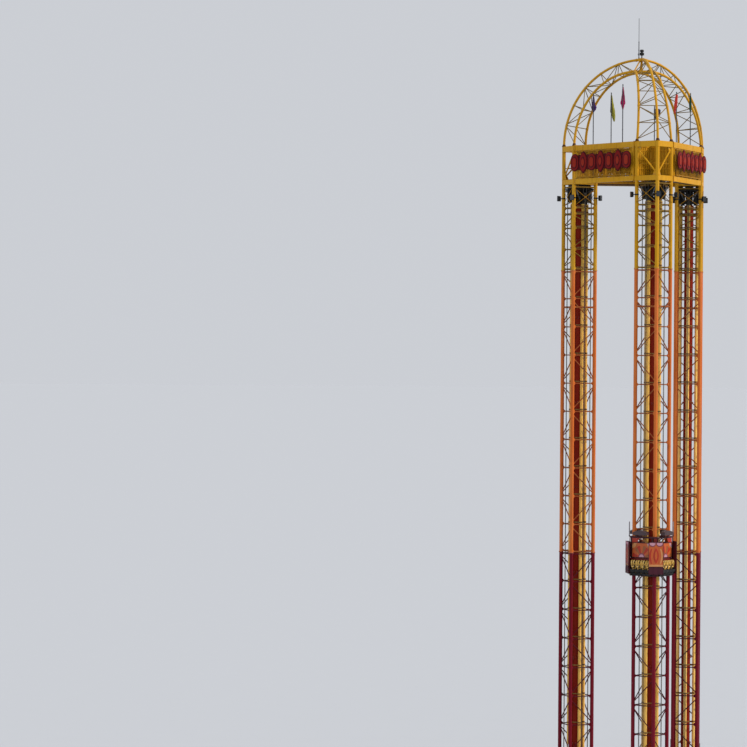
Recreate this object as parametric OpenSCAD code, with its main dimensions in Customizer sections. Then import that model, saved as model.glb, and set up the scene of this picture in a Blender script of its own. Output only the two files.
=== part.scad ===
// Triple drop tower ride, built as a half-size scale model.
// Three square lattice masts stand on a triangle. A sign ring joins their
// heads, and three lattice ribs rise from it to an open crown. One carriage
// with outward-facing seats slides on each mast.

/* [Masts] */
// Distance from the ride's centre to each mast's centre
mast_radius = 3045; // [2900:5:3200]
// Side of a mast between the centres of its chords
mast_side = 1130; // [1100:2:1140]
// Diameter of a mast's corner chords
chord_d = 176; // [120:2:180]
// Diameter of the bracing bars
brace_d = 50; // [30:2:60]
// Height of one lattice bay
bay = 1330; // [1200:10:1400]
// Bays in the lower colour zone
lower_bays = 9; // [6:1:9]
// Height of one bay in the lower colour zone
low_bay = 1350; // [1300:10:1360]
// Bays in the middle colour zone
middle_bays = 10; // [8:1:12]

/* [Inside the masts] */
// Diameter of the central pipe
core_d = 420; // [300:10:460]
// Diameter of the four air tubes
tube_d = 150; // [100:5:160]
// Distance of an air tube from its mast's centre
tube_r = 380; // [370:5:400]
// Distance of the hoist ropes from their mast's centre
rope_r = 615; // [612:1:618]
// Diameter of a hoist rope
rope_d = 22; // [16:1:24]

/* [Sign ring] */
// Height of the ring from its lower to its upper edge
ring_h = 1810; // [1600:10:2000]
// Width of the ring's beams
beam_w = 140; // [100:5:150]
// Depth of the ring's top beam
top_beam = 260; // [200:10:300]
// Depth of the ring's bottom beam
bottom_beam = 230; // [180:10:260]

/* [Crown] */
// Rise of the outer chord of a rib above the ring
crown_h = 4010; // [3600:10:4200]
// Diameter of a rib's chords
rib_d = 120; // [90:2:130]
// Bays in a rib
rib_bays = 6; // [5:1:8]

/* [Carriages] */
// Clear half width inside a carriage
ring_in = 670; // [666:1:680]
// Half width of a carriage's frame
ring_out = 770; // [750:5:775]
// Width of one seat place
seat_w = 270; // [250:5:275]
// Seats on each side of a carriage
seat_n = 4; // [3:1:4]
// Height of the front carriage's underside
front_z = 11100; // [600:50:24000]
// Height of a waiting carriage's underside
wait_z = 450; // [400:10:900]

/* [Hidden] */

crimson = [0.42, 0.05, 0.10];
orange = [0.85, 0.40, 0.20];
yellow = [0.83, 0.60, 0.16];
pale_yellow = [0.86, 0.68, 0.34];
dark_red = [0.33, 0.07, 0.04];
black = [0.06, 0.06, 0.07];
grey = [0.45, 0.46, 0.48];
brown = [0.28, 0.18, 0.08];

FRONT = -90;
RIGHT = 30;
LEFT = 150;

mast_rho = mast_side / sqrt(2);
face_r = mast_side / 2;
z_low = lower_bays * bay;
z_mid = z_low + middle_bays * bay;
// Levels of the top zone, spaced as on the real mast
z_lev = [z_mid + 65, z_mid + 0.75 * bay, z_mid + 1.5 * bay, z_mid + 2 * bay, z_mid + 2.215 * bay];
z_ring = z_mid + 4050;
z_top = z_ring + ring_h;

panel_q = 1110;
panel_hw = 345;
panel_t = 25;
seat_front = 1000;

// The origin is under the middle of the whole ride's box
y_max = mast_radius * sin(30) + (panel_q + panel_t) * sin(60) + panel_hw * cos(60);
y_min = -mast_radius - panel_q - panel_t;
y_off = -(y_max + y_min) / 2;

// ---------------------------------------------------------------- helpers

// Straight bar of few sides from p to q
module bar(p, q, d, n = 6) {
  v = q - p;
  L = norm(v);
  translate(p) rotate([0, acos(v[2] / L), atan2(v[1], v[0])]) cylinder(d = d, h = L, $fn = n);
}

// Rectangular beam from p to q, both at one height, centred on the line
module beam(p, q, w, h) {
  v = q - p;
  L = norm(v);
  translate(p) rotate([0, 0, atan2(v[1], v[0])]) translate([0, -w / 2, -h / 2]) cube([L, w, h]);
}

// Puts a mast's own frame (X outward from the ride's centre) in the ride's frame
module at_mast(a) {
  translate([0, y_off, 0]) rotate([0, 0, a]) translate([mast_radius, 0, 0]) children();
}

// Puts a shape made for the face +X on the mast's four faces
module four_faces() {
  for (k = [0:3]) rotate([0, 0, 45 + 90 * k]) children();
}

module centre() {
  translate([0, y_off, 0]) children();
}

// Corner k of a mast at height z: 0 outer, 1 and 3 side, 2 inner
function corner(k, z = 0) = [mast_rho * cos(90 * k), mast_rho * sin(90 * k), z];

// Same corner in the ride's centred frame
function plan(a, k, z = 0) = let (c = corner(k, z)) [
  (mast_radius + c[0]) * cos(a) - c[1] * sin(a),
  (mast_radius + c[0]) * sin(a) + c[1] * cos(a),
  z
];

// ---------------------------------------------------------------- masts

module chords(z0, z1) {
  for (k = [0:3]) translate(corner(k, z0)) cylinder(d = chord_d, h = z1 - z0, $fn = 12);
}

module splices(z0, z1) {
  for (k = [0:3]) {
    translate(corner(k, z0)) cylinder(d = chord_d + 36, h = 22, $fn = 12);
    translate(corner(k, z1 - 22)) cylinder(d = chord_d + 36, h = 22, $fn = 12);
  }
}

module level(z, d = brace_d) {
  for (k = [0:3]) bar(corner(k, z), corner((k + 1) % 4, z), d);
}

// One zigzag bay: the diagonals start on the side corners or on the outer and inner ones
module zigzag(z0, z1, from_side) {
  g = min(120, 0.12 * (z1 - z0));
  for (k = [0:3]) {
    low = (k % 2 == (from_side ? 1 : 0)) ? k : (k + 1) % 4;
    high = (low == k) ? (k + 1) % 4 : k;
    bar(corner(low, z0 + g), corner(high, z1 - g), brace_d);
  }
}

function low_level(i) = z_low - 20 - (lower_bays - i) * low_bay;

module mast_lower() {
  color(crimson) {
    chords(40, z_low);
    splices(z_low - 22, z_low);
    level(150, 70);
    level(z_low - 60, 60);
    for (i = [1:lower_bays - 1]) level(low_level(i));
    for (i = [0:lower_bays - 1])
      zigzag(i == 0 ? 150 : low_level(i), i == lower_bays - 1 ? z_low - 60 : low_level(i + 1), (lower_bays - i) % 2 == 1);
  }
}

module mast_middle() {
  color(orange) {
    chords(z_low, z_mid);
    splices(z_low, z_mid);
    level(z_low + 60, 60);
    level(z_mid - 60, 60);
    // Heavy ring a third of a bay below the second level
    level(z_mid - 1735, 84);
    for (i = [1:middle_bays - 1]) level(z_low + i * bay);
    for (i = [0:middle_bays - 1])
      zigzag(i == 0 ? z_low + 60 : z_low + i * bay, i == middle_bays - 1 ? z_mid - 60 : z_low + (i + 1) * bay, i % 2 == 1);
  }
}

module mast_upper() {
  color(yellow) {
    chords(z_mid, z_ring);
    splices(z_mid, z_mid + 22);
    level(z_lev[0], 60);
    level(z_lev[1]);
    level(z_lev[2]);
    level(z_lev[3], 84);
    level(z_lev[4], 60);
    for (i = [0:2]) zigzag(z_lev[i], z_lev[i + 1], i % 2 == 1);
    // Struts that cross inside the head, from corner to opposite corner
    for (k = [0:3]) bar(corner(k, z_lev[4] + 120), corner((k + 2) % 4, z_ring - 260), 44);
    level(z_ring - 130, 70);
    bar(corner(0, z_ring - 130), corner(2, z_ring - 130), 80);
    bar(corner(1, z_ring - 130), corner(3, z_ring - 130), 80);
  }
}

module base_feet() {
  for (a = [FRONT, LEFT, RIGHT]) at_mast(a) color(crimson)
    for (k = [0:3]) translate(corner(k)) rotate([0, 0, 45]) {
      translate([-190, -190, 0]) cube([380, 380, 40]);
    }
}

// ---------------------------------------------------------------- inside the masts

module core_pipes() {
  for (a = [FRONT, LEFT, RIGHT]) at_mast(a) color(dark_red) {
    cylinder(d = core_d, h = z_lev[4] + 160);
    cylinder(d = core_d + 140, h = 40);
  }
}

module air_tubes() {
  for (a = [FRONT, LEFT, RIGHT]) at_mast(a) color(pale_yellow)
    four_faces() translate([tube_r, 0, 460]) {
      cylinder(d = tube_d, h = z_lev[4] - 320);
      translate([0, 0, z_lev[4] - 340]) cylinder(d = tube_d + 14, h = 60);
      cylinder(d = tube_d + 14, h = 60);
    }
}

sheave_r = (rope_r - tube_r) / 2;
sheave_x = (rope_r + tube_r) / 2;
sheave_top = z_ring - 520;
sheave_low = 330;

// One loop strand pair: up the face, over the sheave and down to its tube
module hoist_ropes() {
  for (a = [FRONT, LEFT, RIGHT]) at_mast(a) color(black)
    four_faces() for (s = [-25, 25]) translate([0, s, 0]) {
      translate([rope_r, 0, sheave_low]) cylinder(d = rope_d, h = sheave_top - sheave_low, $fn = 24);
      translate([tube_r, 0, z_lev[4] + 180]) cylinder(d = rope_d, h = sheave_top - z_lev[4] - 180, $fn = 24);
      translate([tube_r, 0, sheave_low]) cylinder(d = rope_d, h = 130, $fn = 24);
      translate([sheave_x, 0, sheave_top]) rotate([90, 0, 0])
        rotate_extrude(angle = 180) translate([sheave_r, 0]) circle(d = rope_d, $fn = 24);
      translate([sheave_x, 0, sheave_low]) rotate([-90, 0, 0])
        rotate_extrude(angle = 180) translate([sheave_r, 0]) circle(d = rope_d, $fn = 24);
    }
}

// Double-grooved wheel, axis along Y
module sheave() {
  r = sheave_r - rope_d / 2 - 0.5;
  rotate([90, 0, 0]) {
    translate([0, 0, -50]) cylinder(r = r, h = 100);
    for (y = [-50, -4, 42]) translate([0, 0, y]) cylinder(r = r + rope_d, h = 8);
    translate([0, 0, -70]) cylinder(r = 30, h = 140);
  }
}

module head_sheaves() {
  for (a = [FRONT, LEFT, RIGHT]) at_mast(a) color(black) {
    four_faces() {
      translate([sheave_x, 0, sheave_top]) sheave();
      for (s = [-1, 1]) translate([sheave_x - 150, s * 66 - 6, sheave_top - 320])
        cube([240, 12, z_ring - 170 - sheave_top + 320]);
      translate([150, -72, z_ring - 190]) cube([sheave_x - 80, 144, 20]);
      // Brake drum between the cheeks, and a guard plate outside them
      translate([300, 0, sheave_top + 190]) rotate([90, 0, 0]) cylinder(d = 190, h = 300, center = true);
      for (s = [-1, 1]) translate([sheave_x - 60, s * 190 - (s > 0 ? 8 : 0), sheave_top - 190]) cube([110, 8, 300]);
      translate([sheave_x - 60, -190, sheave_top - 190]) cube([20, 124, 30]);
      translate([sheave_x - 60, 66, sheave_top - 190]) cube([20, 124, 30]);
      // Valve block on the inner side of the cheeks, its foot bar, and winch box above them
      translate([215, -130, z_lev[4] + 190]) cube([135, 260, 480]);
      translate([300, -240, sheave_top - 320]) cube([52, 480, 80]);
      translate([300, -180, z_ring - 190]) cube([210, 360, 175]);
    }
    // Square frame at the head's top
    rotate([0, 0, 45]) difference() {
      translate([-480, -480, z_ring - 262]) cube([960, 960, 74]);
      translate([-415, -415, z_ring - 263]) cube([830, 830, 76]);
    }
    translate([-190, -190, z_ring - 190]) cube([380, 380, 20]);
  }
}

module base_sheaves() {
  for (a = [FRONT, LEFT, RIGHT]) at_mast(a) color(black)
    four_faces() {
      translate([sheave_x, 0, sheave_low]) sheave();
      for (s = [-1, 1]) {
        translate([sheave_x - 75, s * 66 - 6, 0]) cube([100, 12, 460]);
        // Ledge that the air tube stands on, beside its ropes
        translate([tube_r - 82, s * 58.5 - 13.5, 436]) cube([sheave_x + 25 - tube_r + 82, 27, 24]);
      }
      translate([sheave_x - 110, -72, 0]) cube([220, 144, 20]);
    }
}

module floodlights() {
  z = z_ring - 640;
  for (a = [FRONT, LEFT, RIGHT]) at_mast(a) color(black)
    for (k = [0:3]) rotate([0, 0, 90 * k]) {
      translate([mast_rho + chord_d / 2, -20, z - 20]) cube([60, 40, 40]);
      translate([mast_rho + chord_d / 2 + 55, -120, z - 130]) cube([150, 240, 260]);
    }
}

// ---------------------------------------------------------------- sign ring

zt = z_top - top_beam / 2;
zb = z_ring + bottom_beam / 2;

// Mast head inside the ring: posts, edge beams and the V of the two outer faces
module ring_corner() {
  color(yellow) {
    chords(z_ring, z_top);
    for (k = [0:3]) {
      beam(corner(k, zt), corner((k + 1) % 4, zt), beam_w, top_beam);
      beam(corner(k, zb), corner((k + 1) % 4, zb), beam_w, bottom_beam);
    }
    for (k = [1, 3]) bar(corner(k, z_top - top_beam - 40), corner(0, z_ring + bottom_beam + 60), 76);
    // Guard walls on the two faces towards the inside of the ring
    for (k = [1, 2]) rotate([0, 0, 45 + 90 * k]) translate([face_r - 42, -480, z_ring + 200]) cube([12, 960, ring_h - 430]);
    // Lugs that carry the trusses between the masts
    for (s = [-1, 1]) translate([0, s * mast_rho, 0]) rotate([0, 0, 90 * s + 60 * s])
      for (z = [zt - 90, zb - 90]) translate([0, -45, z]) cube([150, 90, 180]);
  }
}

truss_p = plan(FRONT, 1);
truss_q = plan(RIGHT, 3);
truss_len = norm(truss_q - truss_p);
truss_r = norm((truss_p + truss_q) / 2);

// Truss between two masts, made along Y at X = truss_r
module ring_truss() {
  L = truss_len - 300;
  color(yellow) translate([truss_r, 0, 0]) {
    beam([0, -L / 2, zt], [0, L / 2, zt], beam_w, top_beam);
    beam([0, -L / 2, zb], [0, L / 2, zb], beam_w, bottom_beam);
    // Broad end posts
    for (s = [-1, 1]) translate([-20, s * (L / 2 - 115) - 115, z_ring + 100]) cube([70, 230, ring_h - 200]);
    n = 6;
    y0 = L / 2 - 230;
    for (i = [1:n - 1]) translate([-30, -y0 + 2 * y0 * i / n - 30, z_ring + 100]) cube([70, 60, ring_h - 200]);
    for (i = [0:n - 1]) {
      ya = -y0 + 2 * y0 * i / n;
      yb = -y0 + 2 * y0 * (i + 1) / n;
      up = i % 2 == 0;
      bar([0, ya, up ? z_ring + bottom_beam - 30 : z_top - top_beam + 30],
          [0, yb, up ? z_top - top_beam + 30 : z_ring + bottom_beam - 30], 60);
    }
  }
}

walk_w = 420;

// Grating walkway under each truss, on the inner side
module ring_walkways() {
  for (a = [-30, 90, 210]) centre() rotate([0, 0, a]) color(brown)
    translate([truss_r - beam_w / 2 - walk_w, -truss_len / 2 + 480, z_ring + 20]) cube([walk_w, truss_len - 960, 60]);
}

// Ornament of diamonds and ovals that stands off on rails, where a sign would be
module sign_ornaments() {
  span = truss_len - 300 - 480;
  post = (truss_len - 300 - 460) / 6;
  for (a = [-30, 90, 210]) centre() rotate([0, 0, a]) color([0.40, 0.06, 0.10])
    translate([truss_r, 0, z_ring + 975]) {
      for (z = [-190, 150]) {
        translate([230, -span / 2, z]) cube([40, span, 40]);
        // Stubs on the truss posts
        for (i = [-2:2]) translate([40, i * post - 20, z]) cube([195, 40, 40]);
      }
      translate([258, -span / 2, -260]) cube([14, span, 520]);
      translate([270, 0, 0]) rotate([90, 0, 90]) for (i = [-3:3]) translate([i * 615, 0, 0])
        linear_extrude(70) if (abs(i) % 2 == 0) polygon([[-300, 0], [0, -520], [300, 0], [0, 520]]);
          else {
            square([600, 220], center = true);
            for (s = [-1, 1]) translate([0, s * 110]) circle(r = 300);
          }
    }
}

// ---------------------------------------------------------------- crown

hub_in = 300;    // from the crown's axis to a side of its triangular ring
hub_w = 394;
hub_r = 202;
hub_top = 190;
side_h = crown_h - 580;
out_end = acos((hub_top * cos(30) + 10) / (mast_radius + mast_rho));
side_end = acos((hub_in + 10 - hub_r) / (mast_radius - hub_r));

// Points of a rib's chords at a share u of the way from the ring to the crown
function rib_out(u) = let (t = u * out_end) [(mast_radius + mast_rho) * cos(t), 0, z_top + crown_h * sin(t)];
function rib_side(u, s) = let (t = u * side_end) [
  hub_r + (mast_radius - hub_r) * cos(t),
  s * (mast_rho + (hub_w - mast_rho) * u),
  z_top + side_h * sin(t)
];

// Chord of straight tubes whose ends meet inside short couplings
module rib_chord(p) {
  n = len(p);
  for (i = [0:n - 2]) {
    u = (p[i + 1] - p[i]) / norm(p[i + 1] - p[i]);
    bar(p[i] + (i == 0 ? 12 : 10) * u, p[i + 1] - (i == n - 2 ? 0 : 10) * u, rib_d, 12);
    if (i < n - 2) {
      v = (p[i + 2] - p[i]) / norm(p[i + 2] - p[i]);
      bar(p[i + 1] - 26 * v, p[i + 1] + 26 * v, rib_d + 16, 12);
    }
  }
}

module crown_rib() {
  n = rib_bays;
  color(yellow) {
    rib_chord([for (i = [0:2 * n]) rib_out(i / 2 / n)]);
    for (s = [-1, 1]) rib_chord([for (i = [0:2 * n]) rib_side(i / 2 / n, s)]);
    for (i = [1:n - 1]) {
      bar(rib_out(i / n), rib_side(i / n, -1), 42);
      bar(rib_out(i / n), rib_side(i / n, 1), 42);
      bar(rib_side(i / n, -1), rib_side(i / n, 1), 42);
    }
    for (i = [0:n - 1]) {
      u0 = (i + (i == 0 ? 0.12 : 0.06)) / n;
      u1 = (i + 0.94) / n;
      up = i % 2 == 0;
      for (s = [-1, 1]) bar(up ? rib_side(u0, s) : rib_out(u0), up ? rib_out(u1) : rib_side(u1, s), 42);
      bar(rib_side(u0, up ? -1 : 1), rib_side(u1, up ? 1 : -1), 42);
    }
    // Base collars on the ring
    translate([mast_radius + mast_rho, 0, z_top]) cylinder(d = rib_d + 60, h = 90, $fn = 12);
    for (s = [-1, 1]) translate([mast_radius, s * mast_rho, z_top]) cylinder(d = rib_d + 60, h = 90, $fn = 12);
  }
}

// Triangular ring and top block that the ribs are welded to
module crown_hub() {
  z0 = z_top + side_h - 65;
  z1 = z_top + crown_h;
  color(yellow) centre() {
    difference() {
      translate([0, 0, z0]) rotate([0, 0, 90]) cylinder(r = 2 * hub_in, h = 130, $fn = 3);
      translate([0, 0, z0 - 1]) rotate([0, 0, 90]) cylinder(r = 2 * hub_in - 200, h = 132, $fn = 3);
    }
    translate([0, 0, z1 - 65]) cylinder(r = hub_top, h = 125, $fn = 6);
    for (a = [FRONT, LEFT, RIGHT]) rotate([0, 0, a + 180]) {
      bar([480, 0, z0 + 70], [90, 0, z1 - 20], 64, 8);
      bar([470, 0, z0 + 65], [20, 0, z0 + 65], 56, 8);
    }
    translate([0, 0, z0 + 20]) cylinder(d = 90, h = z1 - z0 - 40, $fn = 12);
  }
}

module beacon() {
  z = z_top + crown_h + 60;
  color(black) centre() {
    translate([0, 0, z]) cylinder(d = 54, h = 150);
    translate([0, 0, z + 145]) cylinder(d = 220, h = 140);
    translate([0, 0, z + 280]) cylinder(d = 100, h = 40);
    translate([0, 0, z + 315]) cylinder(d = 190, h = 110);
    // Small side lamp on an arm
    translate([-165, -36, z + 165]) cube([150, 12, 14]);
    translate([-165, -30, z + 150]) cylinder(d = 70, h = 90);
  }
}

module lightning_rod() {
  z = z_top + crown_h + 60;
  color(grey) centre() translate([-130, 60, z]) {
    cylinder(d = 44, h = 780, $fn = 12);
    translate([0, 0, 780]) cylinder(d = 26, h = 1110, $fn = 12);
  }
}

// ---------------------------------------------------------------- flags

pole_r = 2065;
pole_y = 1045;
pole_d = 46;
flag_t = 90;
// Direction of each pole's truss, side, height of its top above the ring, length and width of its flag, way that it hangs, colour
poles = [
  [210, -1, 2330, 760, 270, -15, [0.30, 0.16, 0.45]],
  [210, 1, 2640, 1060, 200, -60, [0.78, 0.10, 0.42]],
  [90, 1, 2560, 1260, 230, -10, [0.78, 0.80, 0.30]],
  [90, -1, 1960, 560, 290, -10, [0.12, 0.14, 0.30]],
  [-30, -1, 2320, 900, 150, 160, [0.85, 0.20, 0.20]],
  [-30, 1, 2420, 760, 130, 170, [0.06, 0.28, 0.20]]
];

module flagpoles() {
  for (p = poles) centre() rotate([0, 0, p[0]]) translate([pole_r, p[1] * pole_y, 0]) color(grey) {
    translate([0, 0, z_ring + 100]) cylinder(d = pole_d, h = ring_h - 100 + p[2], $fn = 12);
    translate([0, -20, zt - 40]) cube([truss_r - beam_w / 2 - pole_r, 40, 80]);
  }
}

// Room that each hanging flag takes beside its pole
module flags() {
  for (p = poles) centre() rotate([0, 0, p[0]]) translate([pole_r, p[1] * pole_y, z_top + p[2] - p[3] - 60])
    color(p[6]) rotate([0, 0, p[5] - p[0]]) translate([pole_d / 2 + 2, -flag_t / 2, 0]) cube([p[4], flag_t, p[3]]);
}

// ---------------------------------------------------------------- carriages

// Octagonal ring: a square with its corners cut off
module eight(half, cut) {
  intersection() {
    square(2 * half, center = true);
    rotate(45) square(2 * cut, center = true);
  }
}

module hoop(z, h, inner, outer, cut_in, cut_out) {
  translate([0, 0, z]) rotate([0, 0, 45]) linear_extrude(h) difference() {
    eight(outer, cut_out);
    eight(inner, cut_in);
  }
}

module carriage_frame() {
  cut_in = mast_rho + chord_d / 2 + 22;
  cut_out = cut_in + 84;
  color([0.30, 0.10, 0.14]) {
    hoop(60, 130, ring_in, ring_out, cut_in, cut_out);
    hoop(785, 90, ring_in, ring_out, cut_in, cut_out);
    hoop(1500, 70, ring_in, ring_out, cut_in, cut_out);
    hoop(1800, 80, ring_in, ring_out, cut_in, cut_out);
    four_faces() {
      for (s = [-1, 1]) translate([ring_in + 10, s * 545 - 30, 60]) cube([70, 60, 1820]);
      // Seat brackets and black pans' cradle under each bank
      for (i = [0:seat_n]) translate([ring_out - 10, (i - seat_n / 2) * seat_w * 0.98 - 12, 90]) cube([150, 24, 100]);
      // Hood with an arched roof over the bank, open below, on two brackets
      difference() {
        intersection() {
          translate([ring_out - 20, -370, 1945]) cube([245, 740, 280]);
          translate([ring_out - 20, 0, 1265]) rotate([0, 90, 0]) cylinder(r = 900, h = 245);
        }
        intersection() {
          translate([ring_out, -350, 1940]) cube([205, 700, 280]);
          translate([ring_out, 0, 1265]) rotate([0, 90, 0]) cylinder(r = 872, h = 205);
        }
      }
      for (s = [-1, 1]) translate([ring_out - 20, s * 230 - 30, 1860]) cube([24, 60, 120]);
    }
    for (k = [0:3]) rotate([0, 0, 90 * k]) {
      for (z = [800, 1500]) translate([cut_out - 20, -30, z]) cube([panel_q - cut_out + 20, 60, 60]);
      // Dark skirt under the corner panel, on its own bracket
      translate([cut_out - 20, -30, 175]) cube([panel_q - cut_out + 30, 60, 60]);
      translate([panel_q, -panel_hw, 165]) cube([panel_t, 2 * panel_hw, 345]);
      // Side walls from the frame's corner to the panel's edges
      for (s = [-1, 1]) translate([0, 0, 165]) linear_extrude(1475)
        polygon([[cut_out - 6, s * 78], [cut_out - 6, s * 94], [panel_q, s * 342], [panel_q, s * 320]]);
    }
    // Slender grey rods on two corners
    for (k = [1, 3]) rotate([0, 0, 90 * k]) {
      translate([cut_out + 30, 0, 1880]) cylinder(d = 48, h = 660, $fn = 12);
      translate([cut_out - 30, -20, 1850]) cube([80, 40, 30]);
    }
  }
}

module carriage_panels() {
  color([0.80, 0.30, 0.12]) {
    four_faces() translate([ring_out, -540, 900]) cube([20, 1080, 700]);
    for (k = [0:3]) rotate([0, 0, 90 * k]) translate([panel_q, -panel_hw, 520]) cube([panel_t, 2 * panel_hw, 1120]);
  }
}

module seat_pans() {
  color(black) four_faces() for (i = [0:seat_n - 1])
    translate([ring_out + 52, (i - seat_n / 2 + 0.5) * seat_w - seat_w / 2 + 5, 190])
      cube([seat_front - ring_out - 52, seat_w - 10, 220]);
}

module seat_backs() {
  color(yellow) four_faces() for (i = [0:seat_n - 1])
    translate([ring_out, (i - seat_n / 2 + 0.5) * seat_w - seat_w / 2 + 8, 190])
      cube([50, seat_w - 16, 590]);
}

module harnesses() {
  color(yellow) four_faces() for (i = [0:seat_n - 1]) translate([0, (i - seat_n / 2 + 0.5) * seat_w, 0]) {
    for (s = [-1, 1]) {
      translate([ring_out + 50, s * 62 - 14, 740]) cube([110, 28, 28]);
      translate([ring_out + 132, s * 62 - 14, 480]) cube([28, 28, 288]);
    }
    translate([ring_out + 132, -76, 470]) cube([28, 152, 40]);
  }
}

// ---------------------------------------------------------------- assembly

module ride_z(z, a) {
  at_mast(a) translate([0, 0, z]) children();
}

at_mast(FRONT) mast_lower();  // front_mast_lower
at_mast(FRONT) mast_middle();  // front_mast_middle
at_mast(FRONT) mast_upper();  // front_mast_upper
at_mast(LEFT) mast_lower();  // left_mast_lower
at_mast(LEFT) mast_middle();  // left_mast_middle
at_mast(LEFT) mast_upper();  // left_mast_upper
at_mast(RIGHT) mast_lower();  // right_mast_lower
at_mast(RIGHT) mast_middle();  // right_mast_middle
at_mast(RIGHT) mast_upper();  // right_mast_upper
base_feet();
core_pipes();
air_tubes();
hoist_ropes();
head_sheaves();
base_sheaves();
floodlights();
at_mast(FRONT) ring_corner();  // ring_corner_front
at_mast(LEFT) ring_corner();  // ring_corner_left
at_mast(RIGHT) ring_corner();  // ring_corner_right
centre() rotate([0, 0, 210]) ring_truss();  // ring_truss_left
centre() rotate([0, 0, -30]) ring_truss();  // ring_truss_right
centre() rotate([0, 0, 90]) ring_truss();  // ring_truss_back
ring_walkways();
sign_ornaments();
centre() rotate([0, 0, FRONT]) crown_rib();  // crown_rib_front
centre() rotate([0, 0, LEFT]) crown_rib();  // crown_rib_left
centre() rotate([0, 0, RIGHT]) crown_rib();  // crown_rib_right
crown_hub();
beacon();
lightning_rod();
flagpoles();
flags();
ride_z(front_z, FRONT) carriage_frame();  // front_carriage_frame
ride_z(front_z, FRONT) carriage_panels();  // front_carriage_panels
ride_z(front_z, FRONT) seat_pans();  // front_seat_pans
ride_z(front_z, FRONT) seat_backs();  // front_seat_backs
ride_z(front_z, FRONT) harnesses();  // front_harnesses
ride_z(wait_z, LEFT) carriage_frame();  // left_carriage_frame
ride_z(wait_z, LEFT) carriage_panels();  // left_carriage_panels
ride_z(wait_z, LEFT) seat_pans();  // left_seat_pans
ride_z(wait_z, LEFT) seat_backs();  // left_seat_backs
ride_z(wait_z, LEFT) harnesses();  // left_harnesses
ride_z(wait_z, RIGHT) carriage_frame();  // right_carriage_frame
ride_z(wait_z, RIGHT) carriage_panels();  // right_carriage_panels
ride_z(wait_z, RIGHT) seat_pans();  // right_seat_pans
ride_z(wait_z, RIGHT) seat_backs();  // right_seat_backs
ride_z(wait_z, RIGHT) harnesses();  // right_harnesses
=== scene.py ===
import bpy, bmesh, math, random
from math import radians, degrees, sin, cos, tan, pi, sqrt, atan2, acos, hypot
from mathutils import Matrix, Vector


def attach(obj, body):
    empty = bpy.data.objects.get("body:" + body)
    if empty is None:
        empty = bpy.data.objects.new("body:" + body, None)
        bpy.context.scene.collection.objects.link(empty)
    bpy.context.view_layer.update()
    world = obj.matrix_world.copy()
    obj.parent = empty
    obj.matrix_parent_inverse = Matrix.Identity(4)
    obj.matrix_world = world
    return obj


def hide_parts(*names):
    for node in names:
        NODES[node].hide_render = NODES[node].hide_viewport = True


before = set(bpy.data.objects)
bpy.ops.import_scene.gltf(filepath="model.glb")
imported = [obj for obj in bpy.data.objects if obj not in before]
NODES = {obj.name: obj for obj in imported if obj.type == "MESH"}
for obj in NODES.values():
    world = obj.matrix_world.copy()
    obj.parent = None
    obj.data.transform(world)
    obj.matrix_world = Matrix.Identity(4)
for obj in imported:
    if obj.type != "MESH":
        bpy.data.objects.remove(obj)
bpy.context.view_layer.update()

random.seed(7)

# ------------------------------------------------------------------ sizes, in metres
Y_OFF = 0.7510305833523312
R_MAST = 3.045
SIDE = 1.130
RHO = SIDE / sqrt(2)
FACE = SIDE / 2
CHORD = 0.176
BAY = 1.330
LOW_BAY = 1.350
Z_LOW = 9 * BAY
Z_MID = 19 * BAY
Z_LEV = [Z_MID + 0.065, Z_MID + 0.75 * BAY, Z_MID + 1.5 * BAY, Z_MID + 2 * BAY, Z_MID + 2.215 * BAY]
Z_RING = Z_MID + 4.050
RING_H = 1.810
Z_TOP = Z_RING + RING_H
CROWN_H = 4.010
SIDE_H = CROWN_H - 0.580
ANG = {"front": -90.0, "left": 150.0, "right": 30.0}
TRUSS = {"left": 210.0, "right": -30.0, "back": 90.0}
CAR_Z = {"front": 11.100, "left": 0.450, "right": 0.450}
SHEAVE_X, SHEAVE_TOP, SHEAVE_LOW = 0.4975, Z_RING - 0.520, 0.330
ZT, ZB = Z_TOP - 0.130, Z_RING + 0.115


def mast_matrix(a):
    return (Matrix.Translation((0, Y_OFF, 0)) @ Matrix.Rotation(radians(a), 4, "Z")
            @ Matrix.Translation((R_MAST, 0, 0)))


def rot_z(deg):
    return Matrix.Rotation(radians(deg), 4, "Z")


def centre(deg=0.0):
    return Matrix.Translation((0, Y_OFF, 0)) @ rot_z(deg)


def plan(a, k):
    return mast_matrix(a) @ Vector((RHO * cos(radians(90 * k)), RHO * sin(radians(90 * k)), 0))


_p, _q = plan(ANG["front"], 1), plan(ANG["right"], 3)
TRUSS_LEN = (_q - _p).length
TRUSS_R = ((_p + _q) / 2 - Vector((0, Y_OFF, 0))).length
TL = TRUSS_LEN - 0.300


# ------------------------------------------------------------------ materials
def srgb(r, g, b):
    def f(c):
        c /= 255
        return c / 12.92 if c <= 0.04045 else ((c + 0.055) / 1.055) ** 2.4
    return (f(r), f(g), f(b), 1.0)


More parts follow.
